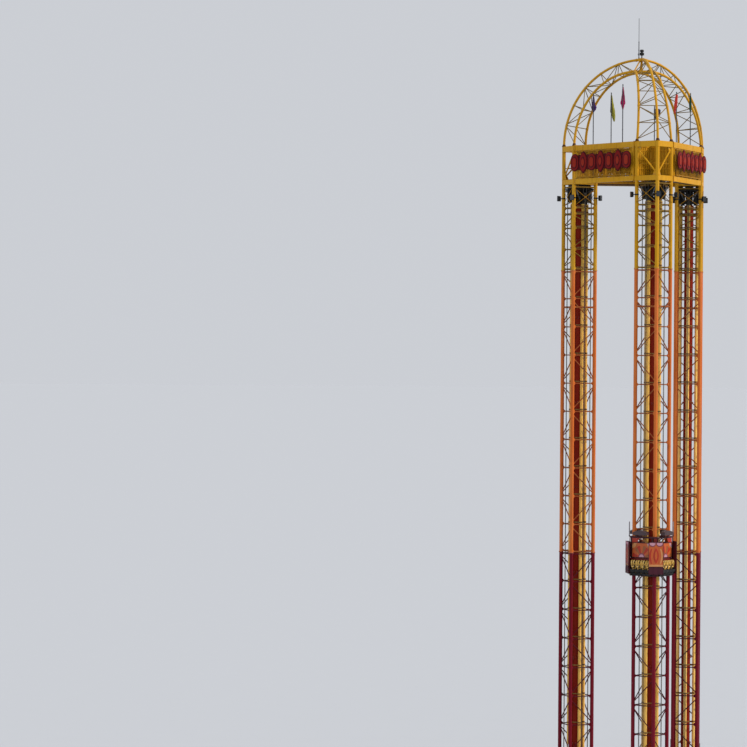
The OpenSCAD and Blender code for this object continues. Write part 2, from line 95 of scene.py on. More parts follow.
class Tree:
    """Small helper that wires a material's nodes."""

    def __init__(self, name):
        self.mat = bpy.data.materials.new(name)
        self.mat.use_nodes = True
        self.t = self.mat.node_tree
        self.t.nodes.clear()
        self.out = self.node("ShaderNodeOutputMaterial")
        self.bsdf = self.node("ShaderNodeBsdfPrincipled")
        self.link(self.bsdf.outputs[0], self.out.inputs[0])
        self.coord = self.node("ShaderNodeTexCoord")

    def node(self, kind, **props):
        n = self.t.nodes.new(kind)
        for k, v in props.items():
            setattr(n, k, v)
        return n

    def link(self, a, b):
        self.t.links.new(a, b)

    def mapped(self, scale=(1, 1, 1), rot=(0, 0, 0), loc=(0, 0, 0)):
        m = self.node("ShaderNodeMapping")
        m.inputs["Scale"].default_value = scale
        m.inputs["Rotation"].default_value = rot
        m.inputs["Location"].default_value = loc
        self.link(self.coord.outputs["Object"], m.inputs["Vector"])
        return m.outputs[0]

    def math(self, op, a, b=None):
        m = self.node("ShaderNodeMath", operation=op)
        for s, v in zip(m.inputs, (a, b)):
            if v is None:
                continue
            if isinstance(v, (int, float)):
                s.default_value = v
            else:
                self.link(v, s)
        return m.outputs[0]

    def split(self, vec):
        s = self.node("ShaderNodeSeparateXYZ")
        self.link(vec, s.inputs[0])
        return s.outputs

    def noise(self, scale=1.0, detail=4.0, rough=0.55, vec=None, distortion=0.0):
        n = self.node("ShaderNodeTexNoise")
        n.inputs["Scale"].default_value = scale
        n.inputs["Detail"].default_value = detail
        n.inputs["Roughness"].default_value = rough
        n.inputs["Distortion"].default_value = distortion
        self.link(vec if vec is not None else self.coord.outputs["Object"], n.inputs["Vector"])
        return n.outputs["Fac"]

    def wave(self, scale, vec=None, direction="Z", distortion=0.0):
        n = self.node("ShaderNodeTexWave", wave_type="BANDS", bands_direction=direction)
        n.inputs["Scale"].default_value = scale
        n.inputs["Distortion"].default_value = distortion
        self.link(vec if vec is not None else self.coord.outputs["Object"], n.inputs["Vector"])
        return n.outputs["Fac"]

    def mix(self, fac, a, b, mode="MIX"):
        m = self.node("ShaderNodeMix", data_type="RGBA", blend_type=mode)
        for s, v in ((m.inputs[0], fac), (m.inputs[6], a), (m.inputs[7], b)):
            if isinstance(v, (int, float, tuple)):
                s.default_value = v
            else:
                self.link(v, s)
        return m.outputs[2]

    def value(self, fac, lo, hi, a, b):
        m = self.node("ShaderNodeMapRange")
        for i, v in zip((1, 2, 3, 4), (lo, hi, a, b)):
            m.inputs[i].default_value = v
        self.link(fac, m.inputs[0])
        return m.outputs[0]

    def bump(self, height, strength, distance, normal=None):
        b = self.node("ShaderNodeBump")
        b.inputs["Strength"].default_value = strength
        b.inputs["Distance"].default_value = distance
        self.link(height, b.inputs["Height"])
        if normal is not None:
            self.link(normal, b.inputs["Normal"])
        return b.outputs[0]

    def set(self, **kw):
        names = {"color": "Base Color", "rough": "Roughness", "metal": "Metallic", "normal": "Normal",
                 "coat": "Coat Weight", "coat_rough": "Coat Roughness", "sheen": "Sheen Weight",
                 "sheen_rough": "Sheen Roughness", "spec": "Specular IOR Level", "trans": "Transmission Weight",
                 "emit": "Emission Color", "emit_s": "Emission Strength", "sss": "Subsurface Weight"}
        for k, v in kw.items():
            s = self.bsdf.inputs[names[k]]
            if isinstance(v, (int, float, tuple)):
                s.default_value = v
            else:
                self.link(v, s)
        return self.mat


def worn(t, base, faded, grime, streaks, rust, rust_col):
    """Colour of weathered paint: slow fading, rain streaks, grime and a few rust flecks. Gives colour, patches and flecks."""
    slow = t.noise(0.45, 3)
    col = t.mix(t.value(slow, 0.35, 0.68, 0.0, 0.75), base, faded)
    streak = t.noise(1.0, 5, 0.6, t.mapped((9.0, 9.0, 0.45)))
    col = t.mix(t.value(streak, 0.52, 0.74, 0.0, streaks), col, grime)
    patch = t.noise(2.6, 6, 0.62)
    col = t.mix(t.value(patch, 0.56, 0.80, 0.0, 0.35), col, grime)
    fleck = t.noise(17.0, 5, 0.6)
    col = t.mix(t.value(fleck, 0.70, 0.76, 0.0, rust), col, rust_col)
    return col, patch, fleck


def paint(name, base, faded, grime, rough=0.42, streaks=0.45, rust=0.5, rust_col=srgb(70, 34, 16), spec=0.35):
    t = Tree(name)
    col, patch, fleck = worn(t, base, faded, grime, streaks, rust, rust_col)
    r = t.value(patch, 0.3, 0.75, rough - 0.08, rough + 0.18)
    n = t.bump(t.noise(90.0, 3), 0.12, 0.002, t.bump(fleck, 0.25, 0.003))
    return t.set(color=col, rough=r, normal=n, spec=spec)


def mast_paint(name, angle, base, faded, grime, bars, bars_faded, rough=0.42, spec=0.35):
    """Paint of one mast zone. The thin bracing between the chords is painted darker than the chords: painted shade for
    bracing that stands in its own shade.
    """
    t = Tree(name)
    col, patch, fleck = worn(t, base, faded, grime, 0.45, 0.5, srgb(70, 34, 16))
    turn = Matrix.Rotation(radians(-(angle + 45)), 3, "Z")
    c = mast_matrix(angle).translation
    move = -(turn @ Vector((c.x, c.y, 0)))
    xyz = t.split(t.mapped(rot=(0, 0, radians(-(angle + 45))), loc=tuple(move)))
    dx = t.math("SUBTRACT", t.math("ABSOLUTE", xyz[0]), FACE)
    dy = t.math("SUBTRACT", t.math("ABSOLUTE", xyz[1]), FACE)
    d = t.math("SQRT", t.math("ADD", t.math("MULTIPLY", dx, dx), t.math("MULTIPLY", dy, dy)))
    # Painted shade: the bracing away from the chords gets the darker bar colours.
    thin = t.value(d, CHORD / 2 + 0.014, CHORD / 2 + 0.060, 0.0, 1.0)
    dull = t.mix(t.value(patch, 0.35, 0.7, 0.0, 0.8), bars, bars_faded)
    col = t.mix(thin, col, dull)
    r = t.value(patch, 0.3, 0.75, rough - 0.08, rough + 0.18)
    n = t.bump(t.noise(90.0, 3), 0.12, 0.002, t.bump(fleck, 0.25, 0.003))
    return t.set(color=col, rough=r, normal=n, spec=spec)


CRIMSON = (srgb(102, 9, 27), srgb(112, 18, 34), srgb(46, 8, 16))
ORANGE = (srgb(192, 98, 36), srgb(198, 114, 58), srgb(102, 48, 22))
YELLOW = (srgb(188, 136, 16), srgb(194, 148, 42), srgb(104, 76, 18))

M = {}
M["crimson"] = paint("crimson_paint", *CRIMSON, 0.46, spec=0.12)
M["orange"] = paint("orange_paint", *ORANGE, 0.46, spec=0.16)
M["yellow"] = paint("yellow_paint", *YELLOW, 0.46, spec=0.12)
M["yellow_dark"] = paint("yellow_shade_paint", srgb(146, 102, 14), srgb(156, 114, 34), srgb(82, 58, 16), 0.5, spec=0.1)
# Painted shade: the crown's thin bars get a darker, greyer yellow than the chords.
M["rib_bar_shade"] = paint("rib_bar_shade_paint", srgb(112, 88, 34), srgb(124, 104, 54), srgb(66, 54, 26), 0.5, spec=0.2)
M["collar"] = paint("collar_brown_paint", srgb(78, 44, 12), srgb(92, 58, 24), srgb(36, 22, 10), 0.5, spec=0.2)
M["dark_red"] = paint("dark_red_paint", srgb(118, 25, 8), srgb(128, 36, 16), srgb(54, 16, 8), 0.5, spec=0.08)


def tube_paint():
    """Pale yellow air tubes, duller and more olive towards the heads."""
    t = Tree("tube_yellow_paint")
    col, patch, fleck = worn(t, srgb(224, 174, 76), srgb(230, 186, 100), srgb(136, 100, 36), 0.45, 0.4, srgb(70, 34, 16))
    # Painted light: the tubes of the right mast are painted lighter, in place of the sunlight that their chords block.
    col = t.mix(t.value(t.split(t.coord.outputs["Object"])[0], 1.2, 1.5, 0.0, 0.6), col, srgb(252, 208, 120))
    dull = t.mix(t.value(patch, 0.35, 0.7, 0.0, 0.8), srgb(172, 138, 44), srgb(186, 156, 68))
    z = t.split(t.coord.outputs["Object"])[2]
    col = t.mix(t.value(z, Z_MID - 1.6, Z_MID + 0.6, 0.0, 0.9), col, dull)
    r = t.value(patch, 0.3, 0.75, 0.28, 0.54)
    n = t.bump(t.noise(90.0, 3), 0.12, 0.002, t.bump(fleck, 0.25, 0.003))
    return t.set(color=col, rough=r, normal=n, spec=0.25)


def head_paint():
    """Black machinery of the heads; the covers at the top of the front head are a worn brown-yellow."""
    t = Tree("head_black_paint")
    col, patch, fleck = worn(t, srgb(26, 24, 23), srgb(38, 36, 34), srgb(20, 18, 16), 0.45, 0.3, srgb(58, 32, 18))
    xyz = t.split(t.coord.outputs["Object"])
    front = t.math("MULTIPLY", t.value(xyz[1], -1.7, -1.5, 1.0, 0.0), t.value(xyz[2], Z_RING - 0.272, Z_RING - 0.268, 0.0, 1.0))
    cover = t.mix(t.value(t.noise(5.0, 4), 0.42, 0.62, 0.0, 1.0), srgb(122, 88, 26), srgb(70, 52, 24))
    col = t.mix(front, col, cover)
    r = t.value(patch, 0.3, 0.75, 0.40, 0.62)
    n = t.bump(t.noise(90.0, 3), 0.12, 0.002, t.bump(fleck, 0.25, 0.003))
    return t.set(color=col, rough=r, normal=n, spec=0.25)


M["tube"] = tube_paint()
M["head"] = head_paint()
M["clamp"] = paint("clamp_paint", srgb(122, 84, 30), srgb(134, 98, 46), srgb(60, 40, 18), 0.5)
M["black"] = paint("black_paint", srgb(16, 18, 20), srgb(26, 28, 31), srgb(9, 9, 9), 0.45, rust=0.2, spec=0.25)
M["grey"] = paint("grey_paint", srgb(84, 87, 92), srgb(98, 100, 104), srgb(56, 56, 56), 0.48, rust=0.3)
M["pole"] = paint("pole_grey_paint", srgb(62, 64, 70), srgb(74, 76, 82), srgb(40, 40, 42), 0.5, rust=0.1)
M["zinc"] = paint("zinc_bolts", srgb(132, 134, 136), srgb(148, 149, 150), srgb(84, 82, 80), 0.4, rust=0.3)
M["brown"] = paint("brown_paint", srgb(64, 42, 20), srgb(76, 54, 30), srgb(30, 20, 12), 0.6, spec=0.2)
M["sign_face"] = paint("sign_red_gloss", srgb(110, 14, 13), srgb(122, 26, 20), srgb(50, 8, 12), 0.5, 0.3, 0.0, spec=0.08)
M["sign_mid"] = paint("sign_rose_gloss", srgb(134, 32, 18), srgb(146, 48, 28), srgb(70, 18, 16), 0.5, 0.3, 0.0, spec=0.08)
M["sign_back"] = paint("sign_plum_paint", srgb(68, 9, 16), srgb(80, 17, 24), srgb(30, 6, 12), 0.5, 0.3, 0.0, spec=0.08)
M["steel"] = paint("carriage_steel", srgb(56, 14, 24), srgb(68, 24, 34), srgb(26, 8, 14), 0.42, rust=0.3, spec=0.25)
M["rail_red"] = paint("rail_red_paint", srgb(92, 18, 18), srgb(106, 28, 26), srgb(40, 10, 10), 0.42, rust=0.3, spec=0.25)
M["plum"] = paint("carriage_plum", srgb(58, 12, 28), srgb(72, 24, 40), srgb(28, 8, 14), 0.42, rust=0.2, spec=0.25)
M["p_orange"] = paint("panel_orange", srgb(170, 74, 26), srgb(178, 92, 44), srgb(104, 44, 22), 0.38, rust=0.0)
M["p_red"] = paint("panel_red", srgb(156, 36, 16), srgb(164, 50, 26), srgb(90, 22, 14), 0.38, rust=0.0)
M["p_tan"] = paint("panel_tan", srgb(182, 122, 70), srgb(190, 136, 90), srgb(112, 72, 42), 0.38, rust=0.0)
M["p_brown"] = paint("panel_brown", srgb(134, 72, 34), srgb(144, 86, 46), srgb(78, 42, 22), 0.36, rust=0.0)
M["p_lilac"] = paint("panel_lilac", srgb(176, 126, 142), srgb(184, 138, 152), srgb(108, 76, 88), 0.34, rust=0.0)
M["p_mauve"] = paint("panel_mauve", srgb(112, 52, 66), srgb(124, 66, 78), srgb(64, 30, 38), 0.36, rust=0.0)
M["canopy"] = paint("canopy_slate", srgb(60, 44, 48), srgb(74, 56, 60), srgb(30, 22, 24), 0.36, rust=0.0)
M["seat_black"] = paint("seat_black", srgb(20, 20, 22), srgb(30, 30, 32), srgb(12, 12, 12), 0.5, rust=0.0, spec=0.3)
M["seat_yellow"] = paint("seat_yellow", srgb(204, 158, 60), srgb(212, 174, 92), srgb(136, 98, 40), 0.42, rust=0.0)
M["rod"] = paint("rod_grey", srgb(128, 124, 128), srgb(142, 138, 142), srgb(80, 76, 80), 0.42, rust=0.2)


def rope_material():
    """Steel wire rope: strands wind round it as fine ridges, with dark grease between them."""
    t = Tree("wire_rope")
    w = t.wave(20.0, t.mapped((1, 1, 1)), "Z", 1.5)
    g = t.noise(3.0, 3)
    col = t.mix(t.value(g, 0.35, 0.7, 0.0, 1.0), srgb(92, 88, 76), srgb(66, 62, 54))
    col = t.mix(t.value(w, 0.0, 0.45, 0.6, 0.0), col, srgb(30, 28, 24))
    return t.set(color=col, rough=t.value(g, 0.3, 0.7, 0.4, 0.6), metal=0.35, normal=t.bump(w, 0.5, 0.004))


def cloth(name, base, light, dark):
    """Woven flag cloth: two crossed thread waves, soft fading and a little sheen."""
    t = Tree(name)
    a = t.wave(420.0, t.mapped(rot=(0, 0, 0.6)), "X")
    b = t.wave(420.0, None, "Z")
    weave = t.math("MULTIPLY", a, b)
    fade = t.noise(2.2, 4)
    col = t.mix(t.value(fade, 0.35, 0.7, 0.0, 0.7), base, light)
    col = t.mix(t.value(weave, 0.0, 0.6, 0.35, 0.0), col, dark)
    return t.set(color=col, rough=t.value(fade, 0.3, 0.7, 0.75, 0.92), sheen=0.25, spec=0.15,
                 normal=t.bump(weave, 0.3, 0.001))


def padding(name, base, light, dark):
    """Coated foam of the shoulder pads: fine grain, worn and dirty in patches."""
    t = Tree(name)
    grain = t.noise(160.0, 3)
    wear = t.noise(9.0, 4)
    col = t.mix(t.value(wear, 0.38, 0.7, 0.0, 0.8), base, light)
    col = t.mix(t.value(t.noise(23.0, 4), 0.58, 0.78, 0.0, 0.6), col, dark)
    return t.set(color=col, rough=t.value(wear, 0.3, 0.7, 0.42, 0.66), spec=0.3, normal=t.bump(grain, 0.35, 0.0015))


def lamp_glass():
    t = Tree("lamp_glass")
    rib = t.wave(30.0, None, "Z")
    g = t.noise(6.0, 3)
    col = t.mix(t.value(g, 0.35, 0.7, 0.0, 1.0), srgb(20, 22, 28), srgb(34, 36, 44))
    return t.set(color=col, rough=0.22, spec=0.5, coat=0.3, normal=t.bump(rib, 0.3, 0.003))


M["rope"] = rope_material()
M["pad"] = padding("harness_pad", srgb(220, 178, 84), srgb(230, 200, 134), srgb(128, 90, 38))
M["pad_dark"] = padding("headrest_pad", srgb(34, 30, 28), srgb(48, 44, 40), srgb(16, 14, 13))
M["glass"] = lamp_glass()
M["flag_purple"] = cloth("flag_purple", srgb(64, 30, 92), srgb(80, 46, 110), srgb(34, 14, 54))
M["flag_magenta"] = cloth("flag_magenta", srgb(150, 14, 76), srgb(168, 34, 92), srgb(88, 8, 44))
M["flag_lime"] = cloth("flag_lime", srgb(150, 148, 44), srgb(168, 166, 74), srgb(96, 92, 26))
M["flag_navy"] = cloth("flag_navy", srgb(52, 54, 84), srgb(72, 74, 104), srgb(26, 26, 46))
M["flag_red"] = cloth("flag_red", srgb(196, 52, 40), srgb(208, 76, 60), srgb(120, 26, 24))
M["flag_green"] = cloth("flag_green", srgb(22, 60, 44), srgb(36, 78, 58), srgb(10, 30, 22))


def dress(name, mat):
    o = NODES[name]
    o.data.materials.clear()
    o.data.materials.append(mat)


# The bar colours passed here are painted shade, darker than the chords.
for mast, angle in ANG.items():
    dress(mast + "_mast_lower", mast_paint(mast + "_crimson", angle, *CRIMSON, srgb(66, 10, 22), srgb(80, 24, 34), 0.46, 0.12))
    dress(mast + "_mast_middle", mast_paint(mast + "_orange", angle, *ORANGE, srgb(132, 66, 30), srgb(142, 86, 48), 0.46, 0.16))
    dress(mast + "_mast_upper", mast_paint(mast + "_yellow", angle, *YELLOW, srgb(108, 82, 26), srgb(122, 98, 44), 0.46, 0.12))
for n in NODES:
    if "_mast_" in n:
        continue
    if n == "base_feet":
        m = "crimson"
    elif n.startswith(("ring_corner", "ring_truss", "crown")):
        m = "yellow"
    elif n == "core_pipes":
        m = "dark_red"
    elif n == "air_tubes":
        m = "tube"
    elif n == "hoist_ropes":
        m = "rope"
    elif n == "head_sheaves":
        m = "head"
    elif n in ("base_sheaves", "floodlights", "beacon"):
        m = "black"
    elif n == "lightning_rod":
        m = "grey"
    elif n == "flagpoles":
        m = "pole"
    elif n == "ring_walkways":
        m = "brown"
    elif n == "sign_ornaments":
        m = "sign_face"
    elif n == "flags":
        m = "flag_magenta"
    elif n.endswith("_carriage_frame"):
        m = "steel"
    elif n.endswith("_carriage_panels"):
        m = "p_orange"
    elif n.endswith("_seat_pans"):
        m = "seat_black"
    else:
        m = "seat_yellow"
    dress(n, M[m])


# ------------------------------------------------------------------ mesh building
def PX(u, v, t):
    return Vector((t, u, v))


def PY(u, v, t):
    return Vector((u, t, v))


def PZ(u, v, t):
    return Vector((u, v, t))


def _box_shape():
    keys, faces = {}, []
    for sx in (-1, 1):
        for sy in (-1, 1):
            for sz in (-1, 1):
                for a in range(3):
                    keys[(sx, sy, sz, a)] = len(keys)

    def at(fixed, a):
        s = [0, 0, 0]
        for i, v in fixed.items():
            s[i] = v
        return keys[(s[0], s[1], s[2], a)]
    for a in range(3):
        b, c = (a + 1) % 3, (a + 2) % 3
        for s in (-1, 1):
            f = [at({a: s, b: -1, c: -1}, a), at({a: s, b: 1, c: -1}, a), at({a: s, b: 1, c: 1}, a), at({a: s, b: -1, c: 1}, a)]
            faces.append(f if s > 0 else f[::-1])
        for sa in (-1, 1):
            for sb in (-1, 1):
                f = [at({a: sa, b: sb, c: -1}, a), at({a: sa, b: sb, c: -1}, b), at({a: sa, b: sb, c: 1}, b), at({a: sa, b: sb, c: 1}, a)]
                faces.append(f if sa * sb > 0 else f[::-1])
    for sx in (-1, 1):
        for sy in (-1, 1):
            for sz in (-1, 1):
                f = [keys[(sx, sy, sz, i)] for i in range(3)]
                faces.append(f if sx * sy * sz > 0 else f[::-1])
    return keys, faces


BOX_KEYS, BOX_FACES = _box_shape()


def circle(r, n):
    return [(r * cos(2 * pi * i / n), r * sin(2 * pi * i / n)) for i in range(n)]


def rect(w, h, c=0.0):
    if c <= 0:
        return [(-w / 2, -h / 2), (w / 2, -h / 2), (w / 2, h / 2), (-w / 2, h / 2)]
    a, b = w / 2, h / 2
    return [(-a + c, -b), (a - c, -b), (a, -b + c), (a, b - c), (a - c, b), (-a + c, b), (-a, b - c), (-a, -b + c)]


class Build:
    """Collects closed solids of several materials for one mesh."""

    def __init__(self):
        self.v, self.f, self.k = [], [], []
        self.at = Matrix.Identity(4)

    def add(self, pts, faces, mat, closed=True):
        turn = False
        if closed:
            vol = 0.0
            for f in faces:
                a = pts[f[0]]
                for i in range(1, len(f) - 1):
                    vol += a.dot(pts[f[i]].cross(pts[f[i + 1]]))
            turn = vol < 0
        n = len(self.v)
        self.v.extend(self.at @ p for p in pts)
        for f in faces:
            self.f.append(tuple(n + i for i in (reversed(f) if turn else f)))
            self.k.append(mat)

    def box(self, lo, hi, mat, c=0.004):
        lo, hi = Vector(lo), Vector(hi)
        mid, h = (lo + hi) / 2, (hi - lo) / 2
        c = min(c, 0.3 * min(h))
        pts = [None] * 24
        for key, i in BOX_KEYS.items():
            pts[i] = mid + Vector([key[j] * (h[j] - (0 if j == key[3] else c)) for j in range(3)])
        self.add(pts, BOX_FACES, mat)

    def prism(self, poly, t0, t1, mat, put=PZ, c=0.003):
        area = sum(poly[i - 1][0] * poly[i][1] - poly[i][0] * poly[i - 1][1] for i in range(len(poly)))
        if area < 0:
            poly = poly[::-1]
        n = len(poly)
        inner = []
        for i in range(n):
            p, q, r = poly[i - 1], poly[i], poly[(i + 1) % n]
            d1, d2 = (q[0] - p[0], q[1] - p[1]), (r[0] - q[0], r[1] - q[1])
            l1, l2 = hypot(*d1) or 1, hypot(*d2) or 1
            n1, n2 = (-d1[1] / l1, d1[0] / l1), (-d2[1] / l2, d2[0] / l2)
            k = c / max(0.35, 1 + n1[0] * n2[0] + n1[1] * n2[1])
            inner.append((q[0] + k * (n1[0] + n2[0]), q[1] + k * (n1[1] + n2[1])))
        if t1 < t0:
            t0, t1 = t1, t0
        pts = ([put(u, v, t0) for u, v in inner] + [put(u, v, t0 + c) for u, v in poly]
               + [put(u, v, t1 - c) for u, v in poly] + [put(u, v, t1) for u, v in inner])
        faces = [[i + r * n, (i + 1) % n + r * n, (i + 1) % n + (r + 1) * n, i + (r + 1) * n] for r in range(3) for i in range(n)]
        faces += [list(range(n))[::-1], [3 * n + i for i in range(n)]]
        self.add(pts, faces, mat)

    def ring(self, outer, inner, t0, t1, mat, put=PZ, c=0.004):
        """Plate with one hole; outer and inner have equal numbers of points."""
        n = len(outer)

        def shrink(poly, d):
            m = (sum(p[0] for p in poly) / n, sum(p[1] for p in poly) / n)
            out = []
            for p in poly:
                v = (p[0] - m[0], p[1] - m[1])
                L = hypot(*v)
                out.append((p[0] - v[0] / L * d, p[1] - v[1] / L * d))
            return out
        loops = [(shrink(outer, c), t0), (outer, t0 + c), (outer, t1 - c), (shrink(outer, c), t1),
                 (shrink(inner, -c), t1), (inner, t1 - c), (inner, t0 + c), (shrink(inner, -c), t0)]
        pts = [put(u, v, t) for loop, t in loops for u, v in loop]
        faces = [[i + r * n, (i + 1) % n + r * n, (i + 1) % n + ((r + 1) % 8) * n, i + ((r + 1) % 8) * n] for r in range(8) for i in range(n)]
        self.add(pts, faces, mat)

    def lathe(self, p, axis, profile, mat, n=16, turn=0.0):
        m = Vector(axis).normalized().to_track_quat("Z", "Y").to_matrix()
        p = Vector(p)
        pts, rows = [], []
        for r, h in profile:
            if r <= 1e-9:
                rows.append([len(pts)])
                pts.append(p + m @ Vector((0, 0, h)))
            else:
                rows.append(list(range(len(pts), len(pts) + n)))
                pts += [p + m @ Vector((r * cos(2 * pi * i / n + turn), r * sin(2 * pi * i / n + turn), h)) for i in range(n)]
        faces = []
        for a, b in zip(rows, rows[1:]):
            for i in range(n):
                j = (i + 1) % n
                if len(a) == 1 and len(b) == 1:
                    continue
                if len(a) == 1:
                    faces.append([a[0], b[j], b[i]])
                elif len(b) == 1:
                    faces.append([a[i], a[j], b[0]])
                else:
                    faces.append([a[i], a[j], b[j], b[i]])
        if len(rows[0]) > 1 and rows[0] is not rows[-1]:
            faces.append(rows[0][::-1])
        if len(rows[-1]) > 1:
            faces.append(rows[-1])
        self.add(pts, faces, mat)

    def hoop(self, p, axis, profile, mat, n=24):
        """Body of revolution with a closed profile that doesn't touch the axis."""
        m = Vector(axis).normalized().to_track_quat("Z", "Y").to_matrix()
        p = Vector(p)
        k = len(profile)
        pts = [p + m @ Vector((r * cos(2 * pi * i / n), r * sin(2 * pi * i / n), h)) for i in range(n) for r, h in profile]
        faces = [[i * k + j, ((i + 1) % n) * k + j, ((i + 1) % n) * k + (j + 1) % k, i * k + (j + 1) % k] for i in range(n) for j in range(k)]
        self.add(pts, faces, mat)

    def rod(self, p, q, r, mat, n=12, c=0.004):
        p, q = Vector(p), Vector(q)
        L = (q - p).length
        c = min(c, r * 0.4, L * 0.3)
        self.lathe(p, q - p, [(0, 0), (r - c, 0), (r, c), (r, L - c), (r - c, L), (0, L)], mat, n)

    def bolt(self, p, axis, mat="zinc", r=0.012, h=0.010):
        a = Vector(axis).normalized()
        self.lathe(Vector(p) - a * 0.002, a, [(0, 0), (r, 0), (r, h), (r * 0.8, h + 0.002), (0, h + 0.002)], mat, 6)

    def sweep(self, path, section, mat, up=None, closed=False, scale=None):
        path = [Vector(p) for p in path]
        n = len(path)
        tang = []
        for i in range(n):
            a = path[i - 1] if (i > 0 or closed) else path[i]
            b = path[(i + 1) % n] if (i < n - 1 or closed) else path[i]
            tang.append((b - a).normalized())
        side = None
        pts, k = [], len(section)
        for i in range(n):
            t = tang[i]
            if up is not None:
                s = Vector(up).cross(t)
                s = s.normalized() if s.length > 1e-6 else side
            elif side is None:
                s = t.orthogonal().normalized()
            else:
                s = (side - t * side.dot(t)).normalized()
            side = s
            w = t.cross(s)
            g = scale[i] if scale else 1.0
            pts += [path[i] + s * (u * g) + w * (v * g) for u, v in section]
        last = n if closed else n - 1
        faces = [[i * k + j, i * k + (j + 1) % k, ((i + 1) % n) * k + (j + 1) % k, ((i + 1) % n) * k + j] for i in range(last) for j in range(k)]
        if not closed:
            faces += [list(range(k))[::-1], [(n - 1) * k + j for j in range(k)]]
        self.add(pts, faces, mat)

    def tube(self, path, r, mat, n=10, closed=False, scale=None):
        self.sweep(path, circle(r, n), mat, closed=closed, scale=scale)

    def loft(self, rows, mat):
        """Closed body through closed rows of equal length, with its ends filled."""
        k = len(rows[0])
        pts = [Vector(p) for row in rows for p in row]
        faces = [[i * k + j, i * k + (j + 1) % k, (i + 1) * k + (j + 1) % k, (i + 1) * k + j] for i in range(len(rows) - 1) for j in range(k)]
        faces += [list(range(k))[::-1], [(len(rows) - 1) * k + j for j in range(k)]]
        self.add(pts, faces, mat)


def piece(name, b, body, stands_for=()):
    me = bpy.data.meshes.new(name)
    me.from_pydata([tuple(p) for p in b.v], [], b.f)
    kinds = []
    for k in b.k:
        if k not in kinds:
            kinds.append(k)
    for k in kinds:
        me.materials.append(M[k])
    at = {k: i for i, k in enumerate(kinds)}
    me.polygons.foreach_set("material_index", [at[k] for k in b.k])
    me.shade_smooth()
    me.set_sharp_from_angle(angle=radians(38))
    me.update()
    o = bpy.data.objects.new(name, me)
    bpy.context.scene.collection.objects.link(o)
    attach(o, body)
    if stands_for:
        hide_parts(*stands_for)
    return o


# ------------------------------------------------------------------ masts: gussets, splices, clamps, flanges
ZONES = {
    "crimson": [Z_LOW - 0.020 - (9 - i) * LOW_BAY for i in range(1, 9)] + [Z_LOW - 0.060],
    "orange": [Z_LOW + 0.060] + [Z_LOW + i * BAY for i in range(1, 10)] + [Z_MID - 0.060],
    "yellow": Z_LEV,
}
GUSSET = [(0.078, -0.085), (0.078, 0.085), (0.098, 0.085), (0.150, 0.034), (0.150, -0.034), (0.098, -0.085)]


def faces_of(a):
    """Frames of a mast's four faces: X outward, chords at Y = +-FACE."""
    return [mast_matrix(a) @ rot_z(45 + 90 * k) for k in range(4)]


